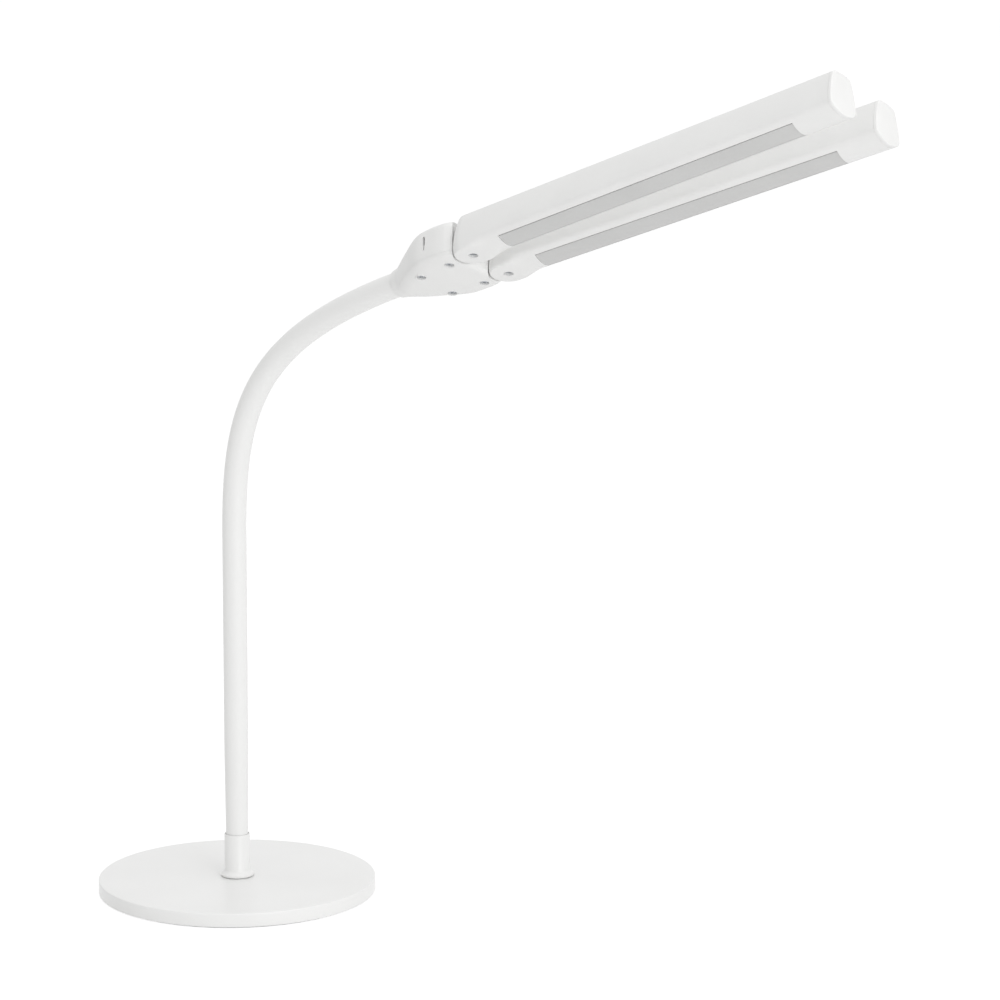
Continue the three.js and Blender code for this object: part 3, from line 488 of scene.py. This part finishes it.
# A round ring is carried along the stations on the outside and back on the inside, then closed.
def tubeAlong(name, stations, inner, sides):
    bm = bmesh.new()
    route = list(stations) + [(point, lean, inner) for point, lean, _ in stations[::-1]]
    ring = bmesh.ops.create_circle(bm, segments=sides, radius=1)["verts"]
    edges = list({edge for vert in ring for edge in vert.link_edges})
    firstEdges = edges
    placed = Matrix.Identity(4)
    for i, (point, lean, radius) in enumerate(route):
        if i:
            made = bmesh.ops.extrude_edge_only(bm, edges=edges)["geom"]
            ring = [item for item in made if isinstance(item, bmesh.types.BMVert)]
            edges = [item for item in made if isinstance(item, bmesh.types.BMEdge)]
        target = (Matrix.Translation(point * mm) @ Matrix.Rotation(lean, 4, "Y")
                  @ Matrix.Diagonal((radius * mm, radius * mm, 1, 1)))
        bmesh.ops.transform(bm, matrix=target @ placed.inverted(), verts=ring)
        placed = target
    bmesh.ops.bridge_loops(bm, edges=firstEdges + edges)
    return makePiece(name, bm, sharpDegrees=50)


allStations = neckStations(neckSizes)
seamAt = next(i for i, (point, _, _) in enumerate(allStations) if point.z >= neckSizes["seam"])
sleeveInside = neckSizes["radius"] - neckSizes["wall"]
lowerSleeve = tubeAlong("neckSleeveLower", allStations[:seamAt + 1], sleeveInside, neckSizes["sides"])
upperSleeve = tubeAlong("neckSleeveUpper", allStations[seamAt:], sleeveInside, neckSizes["sides"])
dress(lowerSleeve, "white_sleeve", None,
      ["neck_sleeve_foot", "neck_sleeve_lower_bend", "neck_sleeve_middle"])
dress(upperSleeve, "white_sleeve", None, ["neck_sleeve_upper_bend", "neck_sleeve_top"])

# The steel core inside: round wire wound close, so its outside rises and falls with each turn
coreSizes = {
    "radius": 6.4, "groove": 0.5, "pitch": 4, "step": 1, "inner": 4, "sides": 32,
    "from": 18.3, "endGap": 18.3, "seamGap": 0.1,
}


# The place and lean at a distance along the stations.
def pointAlong(stations, distance):
    for (a, leanA, _), (b, leanB, _) in zip(stations, stations[1:]):
        length = (b - a).length
        if distance <= length:
            return a.lerp(b, distance / length), leanA + (leanB - leanA) * distance / length
        distance -= length
    return stations[-1][:2]


def woundCore(name, s, start, end):
    count = round((end - start) / s["step"])
    stations = []
    for i in range(count + 1):
        walked = start + (end - start) * i / count
        turned = 2 * math.pi * walked / s["pitch"]
        radius = s["radius"] - s["groove"] * (1 - math.cos(turned)) / 2
        stations.append((*pointAlong(allStations, walked), radius))
    return tubeAlong(name, stations, s["inner"], s["sides"])


neckLength = sum((b[0] - a[0]).length for a, b in zip(allStations, allStations[1:]))
coreSeam = allStations[seamAt][0].z - neckSizes["foot"]
lowerCore = woundCore("neckCoreLower", coreSizes, coreSizes["from"], coreSeam - coreSizes["seamGap"])
upperCore = woundCore("neckCoreUpper", coreSizes, coreSeam + coreSizes["seamGap"],
                      neckLength - coreSizes["endGap"])
dress(lowerCore, "plain_steel", None, ["neck_core_foot", "neck_core_lower_bend", "neck_core_middle"])
dress(upperCore, "plain_steel", None, ["neck_core_upper_bend", "neck_core_top"])

bendSizes = {"lowerHalf": 60, "upperHalf": 74}  # how far each bend spreads either side of its joint

for piece in (lowerSleeve, lowerCore):
    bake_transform(piece)

upperBendHalf = bendSizes["upperHalf"]


# The station that lies a given distance along the curve from a point, forward or back; it is found either side of
# the upper bend's joint.
def stationBeyond(point, distance):
    places = [station[0] * mm for station in allStations]
    nearest = min(range(len(places)), key=lambda i: (places[i] - point).length)
    step = 1 if distance > 0 else -1
    walked, i = 0, nearest
    while walked < abs(distance) * mm and 0 < i < len(places) - 1:
        walked += (places[i + step] - places[i]).length
        i += step
    return places[i]


upperJoint = Vector(joints["neck_upper_bend"]["pos_m"])
for piece in (upperSleeve, upperCore):
    stationBeyond(upperJoint, -upperBendHalf)
    stationBeyond(upperJoint, upperBendHalf)
    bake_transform(piece)
print("neck made")

# Hub: two half shells lofted from the neck's round to a wide, soft-edged front

hubSizes = {
    "rearX": -81, "frontX": -12, "rearHalf": 9.9, "fullHalf": 30, "topZ": 24.4, "bottomZ": -4.2,
    "neckZ": 8.1, "wall": 2, "cavityFront": -16.7, "splitZ": 0.5, "seam": 0.04, "socketRadius": 8.72,
    "socketDepth": 10, "socketStep": 1, "seatRadius": 13.75, "seatSteps": 96, "sides": 112, "between": 5,
    "cutPast": 4,  # how far a cutting shape goes on beyond what it cuts
}
# Shares of the hub's length, width, top and bottom at each station, and how square its section is.
# The last rows close in over a soft nose that reaches forward between the bars' round roots.
hubShares = [
    (0, 0, 0, 0, 2),
    (0.07, 0.04, 0.1, 0.35, 2.1),
    (0.13, 0.16, 0.2, 0.62, 2.3),
    (0.2, 0.31, 0.32, 0.87, 2.6),
    (0.28, 0.47, 0.45, 1, 3),
    (0.36, 0.62, 0.59, 1, 3.4),
    (0.44, 0.77, 0.72, 1, 3.9),
    (0.51, 0.88, 0.81, 1, 4.5),
    (0.57, 0.955, 0.87, 1, 5),
    (0.63, 0.99, 0.92, 1, 5.6),
    (0.74, 1, 0.985, 1, 6),
    (0.85, 1, 1, 1, 6),
    (0.93, 0.965, 1, 1, 6),
    (0.975, 0.91, 0.985, 0.98, 6),
    (1, 0.86, 0.96, 0.85, 6),
    (1.02, 0.78, 0.91, 0.5, 5.6),
    (1.037, 0.64, 0.82, 0, 5.2),
    (1.046, 0.48, 0.7, -0.7, 5),
    (1.05, 0.25, 0.5, -1.5, 5),
    (1.05, 0, 0, -2.5, 4),
    (1.05, -0.3, -0.3, -3.2, 4),
]


# The value a share t of the way from b to c, on a smooth curve (Catmull-Rom) through all four.
def smoothBetween(a, b, c, d, t):
    return 0.5 * (2 * b + (c - a) * t + (2 * a - 5 * b + 4 * c - d) * t ** 2
                  + (3 * b - a - 3 * c + d) * t ** 3)


def smoothRows(rows, between):
    smooth = []
    for i in range(len(rows) - 1):
        near = (rows[max(i - 1, 0)], rows[i], rows[i + 1], rows[min(i + 2, len(rows) - 1)])
        for step in range(between):
            smooth.append(tuple(smoothBetween(*values, step / between) for values in zip(*near)))
    return smooth + [rows[-1]]


# A circle's sine or cosine, pushed outwards so that the ring gets squarer as the power rises above 2.
def squarer(value, power):
    return math.copysign(abs(value) ** (2 / power), value)


def hubRing(s, row, inset):
    along, wide, high, deep, power = row
    top = s["neckZ"] + s["rearHalf"] + (s["topZ"] - s["neckZ"] - s["rearHalf"]) * high - inset
    bottom = s["neckZ"] - s["rearHalf"] + (s["bottomZ"] - s["neckZ"] + s["rearHalf"]) * deep + inset
    half = s["rearHalf"] + (s["fullHalf"] - s["rearHalf"]) * wide - inset
    x = s["rearX"] + (s["frontX"] - s["rearX"]) * along
    points = []
    for i in range(s["sides"]):
        turn = 2 * math.pi * i / s["sides"]
        y = squarer(math.cos(turn), power) * half
        z = (top + bottom) / 2 + squarer(math.sin(turn), power) * (top - bottom) / 2
        points.append(Vector((x, y, z)) * mm)
    return points


def roundRing(s, x, radius):
    turns = [2 * math.pi * i / s["sides"] for i in range(s["sides"])]
    return [Vector((x, radius * math.cos(t), s["neckZ"] + radius * math.sin(t))) * mm for t in turns]


# From the inner front, back along the cavity, through the socket and forward again over the outside.
def hubShell(s):
    rows = smoothRows(hubShares, s["between"])
    socketEnd = s["rearX"] + s["socketDepth"]
    inner = [hubRing(s, row, s["wall"]) for row in rows]
    inner = [ring for ring in inner if socketEnd + s["socketStep"] < ring[0].x / mm < s["cavityFront"]]
    socket = [roundRing(s, x, s["socketRadius"]) for x in (socketEnd, s["rearX"])]
    outer = [hubRing(s, row, 0) for row in rows]
    rings = inner[::-1] + socket + outer
    bm = bmesh.new()
    ringVerts = bmesh.ops.create_circle(bm, segments=s["sides"], radius=1)["verts"]
    edges = list({edge for vert in ringVerts for edge in vert.link_edges})
    ordered = sorted(ringVerts, key=lambda v: math.atan2(v.co.y, v.co.x) % (2 * math.pi))
    for i, ring in enumerate(rings):
        if i:
            made = bmesh.ops.extrude_edge_only(bm, edges=edges)["geom"]
            newVerts = {item for item in made if isinstance(item, bmesh.types.BMVert)}
            edges = [item for item in made if isinstance(item, bmesh.types.BMEdge)]
            ordered = [next(edge.other_vert(vert) for edge in vert.link_edges
                            if edge.other_vert(vert) in newVerts) for vert in ordered]
        for vert, point in zip(ordered, ring):
            vert.co = point
        if i == 0:
            bmesh.ops.contextual_create(bm, geom=edges)
    bmesh.ops.contextual_create(bm, geom=edges)
    return bm


# One half of the shell: it is cut at the split, a seam's width apart from the other, and closed there.
def hubHalf(name, s, upper):
    bm = hubShell(s)
    plane = (s["splitZ"] + (s["seam"] if upper else -s["seam"])) * mm
    whole = bm.verts[:] + bm.edges[:] + bm.faces[:]
    cut = bmesh.ops.bisect_plane(bm, geom=whole, dist=mergeGap / 4, plane_co=(0, 0, plane),
                                 plane_no=(0, 0, 1), clear_outer=not upper, clear_inner=upper)["geom_cut"]
    rim = [item for item in cut if isinstance(item, bmesh.types.BMEdge)]
    bmesh.ops.triangle_fill(bm, edges=rim, use_beauty=True)
    return makePiece(name, bm, headPlace, sharpDegrees=30)


screwSizes = {
    "frontX": -21, "frontY": 17.8, "rearX": -47.6, "rearY": 15.8, "recessRadius": 3.75, "recessTop": 2.5,
    "radius": 3.1, "height": 1.9, "shankRadius": 1.5, "seatZ": -1.4, "topZ": 14.1,
}
hubScrewPlaces = {
    "front_right": (screwSizes["frontX"], -screwSizes["frontY"]),
    "front_left": (screwSizes["frontX"], screwSizes["frontY"]),
    "rear_right": (screwSizes["rearX"], -screwSizes["rearY"]),
    "rear_left": (screwSizes["rearX"], screwSizes["rearY"]),
}
switchSizes = {"x": -33, "width": 1.8, "low": 6.3, "high": 16.3, "bevel": 0.25}
# The bracket's tongues, with their clearance: how far apart, how wide and how deep into hub and bar.
tongueSizes = {
    "spacing": 36, "half": 3.95, "low": 7.55, "high": 10.95, "intoHub": 9, "bevel": 0.15,
    "pastBar": 2, "sweepSteps": 12,
}


# The two round seats in the hub's front that the bars' roots turn in.
def rootSeats(s):
    reach = tongueSizes["spacing"] / 2
    low, high = s["bottomZ"] - s["cutPast"], s["topZ"] + s["cutPast"]
    return [cuttingRod(s["seatRadius"], low, high, 0, y, headPlace, s["seatSteps"])
            for y in (-reach, reach)]


def switchSlot(s):
    wallY, past = -hubSizes["fullHalf"], hubSizes["cutPast"]
    low = (s["x"] - s["width"] / 2, wallY - past, s["low"])
    high = (s["x"] + s["width"] / 2, wallY + past, s["high"])
    return cuttingBlock(low, high, headPlace, s["bevel"])


def hubTongueSlot(side, s):
    middle = side * s["spacing"] / 2
    low = (hubSizes["frontX"] - s["intoHub"], middle - s["half"], s["low"])
    high = (hubSizes["frontX"] + hubSizes["cutPast"], middle + s["half"], s["high"])
    return cuttingBlock(low, high, headPlace, s["bevel"])


def hubHousing(s):
    shell = hubHalf("hubUpperShell", s, upper=True)
    slots = [switchSlot(switchSizes), hubTongueSlot(-1, tongueSizes), hubTongueSlot(1, tongueSizes)]
    return carve(shell, slots + rootSeats(s), sharpDegrees=30)


def hubCover(s):
    shell = hubHalf("hubLowerCover", s, upper=False)
    radius, low, high = screwSizes["recessRadius"], s["bottomZ"] - s["cutPast"], screwSizes["recessTop"]
    recesses = [cuttingRod(radius, low, high, x, y, headPlace) for x, y in hubScrewPlaces.values()]
    return carve(shell, recesses + rootSeats(s), sharpDegrees=30)


dress(hubHousing(hubSizes), "white_plastic", "hub", ["hub_housing"])
dress(hubCover(hubSizes), "white_plastic", "hub", ["hub_cover"])

cupSizes = {
    "boreRadius": 1.8, "fit": 0.02, "wall": 0.5, "lipInset": 0.12, "chamfer": 0.2, "floorLift": 0.05,
    "floorThickness": 0.8,
}


# The lined recess that each hub screw sits in: a cup with a hole in its floor.
def recessCup(name, s, x, y):
    outside = screwSizes["recessRadius"] - s["fit"]
    inside = outside - s["wall"]
    lip = hubSizes["bottomZ"] + s["lipInset"]
    floor = screwSizes["seatZ"] + s["floorLift"]
    top = floor + s["floorThickness"]
    profile = [(s["boreRadius"], floor), (inside, floor), (inside, lip + s["chamfer"]),
               (inside + s["chamfer"], lip), (outside, lip), (outside, top), (s["boreRadius"], top)]
    bm = spunShape(profile)
    bmesh.ops.translate(bm, vec=(x * mm, y * mm, 0), verts=bm.verts)
    return makePiece(name, bm, headPlace)


# Shares of a screw head's radius and height: its crown and the cross in it
headShape = {
    "crownReach": 0.95, "rimHeight": 0.35, "crownSteps": 8, "sides": 40, "crossHalf": 0.42, "armHalf": 0.1,
    "crossDepth": 0.28,
}
crossCutPast = 1


# A pan-head screw with a cross recess; its head hangs below the seat.
def panScrew(name, s, x, y, place):
    radius, height, seatZ = s["radius"], s["height"], s["seatZ"]
    face = seatZ - height
    rim = (radius, seatZ - height * headShape["rimHeight"])
    crown = bendThrough((0, face), (radius * headShape["crownReach"], face), rim, headShape["crownSteps"])
    profile = [(0, face)] + crown[1:]
    profile += [(radius, seatZ), (s["shankRadius"], seatZ), (s["shankRadius"], s["topZ"]), (0, s["topZ"])]
    bm = spunShape(profile, headShape["sides"], closed=False)
    bmesh.ops.translate(bm, vec=(x * mm, y * mm, 0), verts=bm.verts)
    screw = makePiece(name, bm, place)
    cross, arm = radius * headShape["crossHalf"], radius * headShape["armHalf"]
    low, high = face - crossCutPast, face + height * headShape["crossDepth"]
    tools = [cuttingBlock((x - acrossX, y - acrossY, low), (x + acrossX, y + acrossY, high), place)
             for acrossX, acrossY in ((cross, arm), (arm, cross))]
    return carve(screw, tools, sharpDegrees=30)


for label, (x, y) in hubScrewPlaces.items():
    name = "hubScrew" + label.title().replace("_", "")
    dress(recessCup(name + "Cup", cupSizes, x, y), "white_plastic", "hub")
    dress(panScrew(name, screwSizes, x, y, headPlace), "plain_steel", "hub", ["hub_screw_" + label])
print("hub made")

# Light bars: a windowed housing with a round root, a frosted pane, an end cap and the pivot screw

barSizes = {
    "length": 295, "halfWidth": 13.4, "topZ": 24.6, "bottomZ": -3.8, "wall": 1.8,
    "keelHalf": 9, "keelZ": -2, "widestZ": 2.6, "shoulderHalf": 9.6, "shoulderZ": 21.9, "sideBow": 1.6,
    "bellyShare": 0.5, "chineShare": 0.35, "crownShare": 0.93,
    "rootEnd": 4, "blendEnd": 20, "blendSteps": 8, "curveSteps": 10, "domeSteps": 40,
    "capThickness": 2.4, "capGap": 0.12, "capRound": 0.7,
    "windowStart": 28.8, "windowEndInset": 31.8, "windowHalf": 9.2, "windowSlope": 2.5, "windowTop": 1.5,
    "paneRecess": 0.35, "paneThickness": 1.6, "paneGap": 0.65, "paneShift": 0.55, "paneEndGap": 0.06,
    "recessRadius": 3.6, "recessTop": -1, "openDegrees": 25, "cutPast": 3,
}


# Half of the bar's section, from the middle of its belly to the middle of its crown.
def halfSection(s, inset):
    steps = s["curveSteps"]
    bottom, top, half = s["bottomZ"] + inset, s["topZ"] - inset, s["halfWidth"] - inset
    keel = (s["keelHalf"] - inset, s["keelZ"] + inset)
    widest = (half, s["widestZ"])
    shoulder = (s["shoulderHalf"] - inset, s["shoulderZ"] - inset)
    sideMiddle = ((s["halfWidth"] + s["shoulderHalf"]) / 2 + s["sideBow"] - inset,
                  (s["widestZ"] + s["shoulderZ"]) / 2)
    points = bendThrough((0, bottom), (s["keelHalf"] * s["bellyShare"], bottom), keel, steps)
    chine = (half, s["keelZ"] + inset + (s["widestZ"] - s["keelZ"]) * s["chineShare"])
    points += bendThrough(keel, chine, widest, steps)[1:]
    points += bendThrough(widest, sideMiddle, shoulder, steps)[1:]
    points += bendThrough(shoulder, (s["shoulderHalf"] * s["crownShare"] - inset, top), (0, top), steps)[1:]
    return points


# How the bar's section runs: flat underneath at the root, then easing into the belly of the bar.
rootShape = {"keelHalf": 11.9, "keelZ": -3.55, "chineShare": 0.1}


def sectionAt(s, x):
    share = min(max((x - s["rootEnd"]) / (s["blendEnd"] - s["rootEnd"]), 0), 1)
    eased = share * share * (3 - 2 * share)
    root = halfSection({**s, **rootShape}, 0)
    return [(y0 + (y1 - y0) * eased, z0 + (z1 - z0) * eased)
            for (y0, z0), (y1, z1) in zip(root, halfSection(s, 0))]


# The bar's skin: the root's half section spun round the pivot, then drawn out along the bar.
def barSkin(bm, s, endX):
    verts = [bm.verts.new((0, y * mm, z * mm)) for y, z in sectionAt(s, 0)]
    edges = joinedEdges(bm, verts, False)
    bmesh.ops.spin(bm, geom=verts + edges, cent=(0, 0, 0), axis=(0, 0, 1), dvec=(0, 0, 0),
                   angle=math.pi, steps=s["domeSteps"], use_merge=False, use_duplicate=False)
    span = s["blendEnd"] - s["rootEnd"]
    stops = [0] + [s["rootEnd"] + span * i / s["blendSteps"] for i in range(s["blendSteps"] + 1)] + [endX]
    for side in (-1, 1):
        rows = [[bm.verts.new((x * mm, side * y * mm, z * mm)) for y, z in sectionAt(s, x)] for x in stops]
        for low, high in zip(rows, rows[1:]):
            for corners in zip(low, low[1:], high[1:], high):
                bm.faces.new(corners)


def barShell(name, s, place):
    bm = bmesh.new()
    barSkin(bm, s, s["length"] - s["capThickness"] - s["capGap"])
    bmesh.ops.remove_doubles(bm, verts=bm.verts, dist=mergeGap)
    bmesh.ops.recalc_face_normals(bm, faces=bm.faces)
    bmesh.ops.solidify(bm, geom=bm.faces[:], thickness=s["wall"] * mm)
    return makePiece(name, bm, place, sharpDegrees=28)


# The ends of the window and of its pane slant across the bar.
def slantEnds(bm, s):
    half = s["windowHalf"]
    for vert in bm.verts:
        vert.co.x -= s["windowSlope"] * (vert.co.y / mm + half) / (2 * half) * mm


def windowCutter(s, place):
    start, end = s["windowStart"], s["length"] - s["windowEndInset"]
    low, high = s["bottomZ"] - s["cutPast"], s["windowTop"]
    bm = bmesh.new()
    bmesh.ops.create_cube(bm, size=1)
    size = ((end - start) * mm, 2 * s["windowHalf"] * mm, (high - low) * mm)
    bmesh.ops.scale(bm, vec=size, verts=bm.verts)
    bmesh.ops.translate(bm, vec=((start + end) / 2 * mm, 0, (low + high) / 2 * mm), verts=bm.verts)
    slantEnds(bm, s)
    return makePiece("windowCutter", bm, place)


# A flat wedge that clears the bracket's tongue over the bar's whole swing.
def barTongueSlot(side, s, place):
    halfAngle = math.degrees(math.asin(tongueSizes["half"] / (s["halfWidth"] - s["wall"])))
    far = s["halfWidth"] + tongueSizes["pastBar"]
    points = [(0, 0)] + arc(0, 0, far, 180 - halfAngle, 180 + halfAngle + s["openDegrees"],
                            tongueSizes["sweepSteps"])
    if side > 0:
        points = [(x, -y) for x, y in points]
    bm = bmesh.new()
    verts = [bm.verts.new((x * mm, y * mm, tongueSizes["low"] * mm)) for x, y in points]
    outline = bm.faces.new(verts)
    raised = bmesh.ops.extrude_face_region(bm, geom=[outline])["geom"]
    lifted = [item for item in raised if isinstance(item, bmesh.types.BMVert)]
    bmesh.ops.translate(bm, vec=(0, 0, (tongueSizes["high"] - tongueSizes["low"]) * mm), verts=lifted)
    return makePiece("barTongueSlot", bm, place)


# A closed solid drawn out along the bar from an outline of (across, up) points.
def drawnOut(outline, startX, endX):
    bm = bmesh.new()
    face = bm.faces.new([bm.verts.new((startX * mm, y * mm, z * mm)) for y, z in outline])
    out = bmesh.ops.extrude_face_region(bm, geom=[face])["geom"]
    far = [item for item in out if isinstance(item, bmesh.types.BMVert)]
    bmesh.ops.translate(bm, vec=((endX - startX) * mm, 0, 0), verts=far)
    bm.faces.new([bm.verts.new((startX * mm, y * mm, z * mm)) for y, z in outline[::-1]])
    bmesh.ops.remove_doubles(bm, verts=bm.verts, dist=mergeGap)
    return bm


# A plate across the bar with a rounded front edge.
def endCap(name, s, place):
    right = halfSection(s, 0)
    outline = right + [(-y, z) for y, z in right[-2:0:-1]]
    bm = drawnOut(outline, s["length"] - s["capThickness"], s["length"])
    middleX = (s["length"] - s["capThickness"] / 2) * mm
    rim = [edge for edge in bm.edges if all(vert.co.x > middleX for vert in edge.verts)]
    bmesh.ops.bevel(bm, geom=rim, offset=s["capRound"] * mm, offset_type="OFFSET", segments=4, profile=0.5,
                    affect="EDGES", material=-1)
    return makePiece(name, bm, place, sharpDegrees=40)


# The pane: the belly's curve, set in a little, with the window's slanted ends.
def barPane(name, s, place):
    outline = [(y, z) for y, z in halfSection(s, s["paneRecess"]) if z < s["widestZ"]]
    half = s["windowHalf"] - s["paneGap"]
    edgePoint = max((p for p in outline if p[0] < half), key=lambda p: p[0])
    beyond = min((p for p in outline if p[0] >= half), key=lambda p: p[0])
    share = (half - edgePoint[0]) / (beyond[0] - edgePoint[0])
    edge = (half, edgePoint[1] + (beyond[1] - edgePoint[1]) * share)
    belly = [p for p in outline if p[0] < half] + [edge]
    lower = [(-y, z) for y, z in belly[:0:-1]] + belly
    upper = [(y, z + s["paneThickness"]) for y, z in lower[::-1]]
    start = s["windowStart"] + s["paneEndGap"]
    end = s["length"] - s["windowEndInset"] - s["paneEndGap"]
    bm = drawnOut(lower + upper, start, end)
    slantEnds(bm, s)
    sideways = (0, s["paneShift"] * mm, 0)  # the wider gap this leaves shows as a thin dark line
    bmesh.ops.translate(bm, vec=sideways, verts=bm.verts)
    return makePiece(name, bm, place, sharpDegrees=40)


def barHousing(side, name, s, place):
    shell = barShell(name, s, place)
    tools = [windowCutter(s, place),
             cuttingRod(s["recessRadius"], s["bottomZ"] - s["cutPast"], s["recessTop"], 0, 0, place),
             barTongueSlot(side, s, place)]
    return carve(shell, tools, sharpDegrees=28)


pivotScrewSizes = {"radius": 3.3, "height": 1.2, "shankRadius": 2, "seatZ": -0.9, "topZ": 15.2}
bossSizes = {
    "boreRadius": 2.3, "radius": 5, "low": 0.4, "high": 6.2, "fit": 0.02, "cupWall": 0.3, "lipInset": 0.05,
    "chamfer": 0.15,
}


# The boss that the pivot screw goes through, with the cup for its head in the bar's belly.
def pivotBoss(name, s, place):
    outside = barSizes["recessRadius"] - s["fit"]
    inside = outside - s["cupWall"]
    lip = barSizes["bottomZ"] + s["lipInset"]
    seatZ = pivotScrewSizes["seatZ"]
    profile = [(s["boreRadius"], seatZ), (inside, seatZ), (inside, lip + s["chamfer"]),
               (inside + s["chamfer"], lip), (outside, lip), (outside, s["low"]), (s["radius"], s["low"]),
               (s["radius"], s["high"]), (s["boreRadius"], s["high"])]
    return makePiece(name, spunShape(profile), place)


for side, sign in (("right", -1), ("left", 1)):
    place = barPlace(side)
    body = side + "_bar"
    dress(barHousing(sign, side + "BarShell", barSizes, place), "white_plastic", body, [body + "_housing"])
    dress(endCap(side + "BarEndCap", barSizes, place), "white_plastic", body, [body + "_end_cap"])
    dress(barPane(side + "BarPane", barSizes, place), "frosted_acrylic", body, [body + "_diffuser"])
    dress(pivotBoss(side + "PivotBoss", bossSizes, place), "white_plastic", body)
    pivotScrew = panScrew(side + "PivotScrew", pivotScrewSizes, 0, 0, place)
    dress(pivotScrew, "plain_steel", body, [side + "_pivot_screw"])
print("bars made")

# Floor, world and lights

# 1 for rays that show the background itself: the camera's, and those that metal and glass send on.
def seenDirectly(tree):
    rays = addNode(tree, "ShaderNodeLightPath")
    camera = addNode(tree, "ShaderNodeMath", {"operation": "MAXIMUM"},
                     {0: rays.outputs["Is Camera Ray"], 1: rays.outputs["Is Glossy Ray"]})
    seen = addNode(tree, "ShaderNodeMath", {"operation": "MAXIMUM"},
                   {0: camera.outputs["Value"], 1: rays.outputs["Is Transmission Ray"]})
    return seen.outputs["Value"]


floorSetup = {"half": 200, "colour": "#f4f4f4", "seenColour": "#8c8c8c", "seenLift": 0.86}


# A pale floor that shows as the photo's white ground: what is seen of it keeps the lamp's shadow.
def paleFloor():
    bm = bmesh.new()
    bmesh.ops.create_grid(bm, x_segments=1, y_segments=1, size=floorSetup["half"])
    floor = makePiece("paleFloor", bm)
    material = bpy.data.materials.new("paleFloor")
    material.use_nodes = True
    tree = material.node_tree
    tree.nodes.clear()
    seen = seenDirectly(tree)
    colour = addNode(tree, "ShaderNodeMixRGB", {
        "Color1": linear(floorSetup["colour"]), "Color2": linear(floorSetup["seenColour"])}, {"Fac": seen})
    diffuse = addNode(tree, "ShaderNodeBsdfDiffuse", links={"Color": colour.outputs["Color"]})
    lift = addNode(tree, "ShaderNodeMath", {"operation": "MULTIPLY", 1: floorSetup["seenLift"]}, {0: seen})
    glow = addNode(tree, "ShaderNodeEmission", {"Color": (1, 1, 1, 1)}, {"Strength": lift.outputs["Value"]})
    both = addNode(tree, "ShaderNodeAddShader",
                   links={0: diffuse.outputs["BSDF"], 1: glow.outputs["Emission"]})
    addNode(tree, "ShaderNodeOutputMaterial", links={"Surface": both.outputs["Shader"]})
    floor.data.materials.append(material)


paleFloor()

worldSetup = {"light": 0.665, "seen": 1.0}


def paleWorld():
    world = bpy.data.worlds.new("paleRoom")
    world.use_nodes = True
    tree = world.node_tree
    tree.nodes.clear()
    levels = {"To Min": worldSetup["light"], "To Max": worldSetup["seen"]}
    strength = addNode(tree, "ShaderNodeMapRange", levels, {"Value": seenDirectly(tree)})
    back = addNode(tree, "ShaderNodeBackground", {"Color": (1, 1, 1, 1)},
                   {"Strength": strength.outputs["Result"]})
    addNode(tree, "ShaderNodeOutputWorld", links={"Surface": back.outputs["Background"]})
    scene.world = world


paleWorld()

lightSetups = {
    "keyPanel": {"place": (1.9, -0.4, 1.5), "aim": (0.1, 0, 0.25), "size": 1.4, "power": 4.5},
    "topPanel": {"place": (0.1, 0.1, 2.4), "aim": (0.1, 0, 0), "size": 1.8, "power": 11.5},
    "lowPanel": {"place": (2.5, -1.1, 0.6), "aim": (0.2, 0, 0.35), "size": 1.2, "power": 14},
}


def addPanel(name, setup):
    data = bpy.data.lights.new(name, "AREA")
    data.size = setup["size"]
    data.energy = setup["power"]
    panel = bpy.data.objects.new(name, data)
    panel.location = setup["place"]
    towards = Vector(setup["aim"]) - Vector(setup["place"])
    panel.rotation_euler = towards.to_track_quat("-Z", "Y").to_euler()
    scene.collection.objects.link(panel)


for name, setup in lightSetups.items():
    addPanel(name, setup)

scene.view_settings.view_transform = "Standard"
print("stage and lights made")
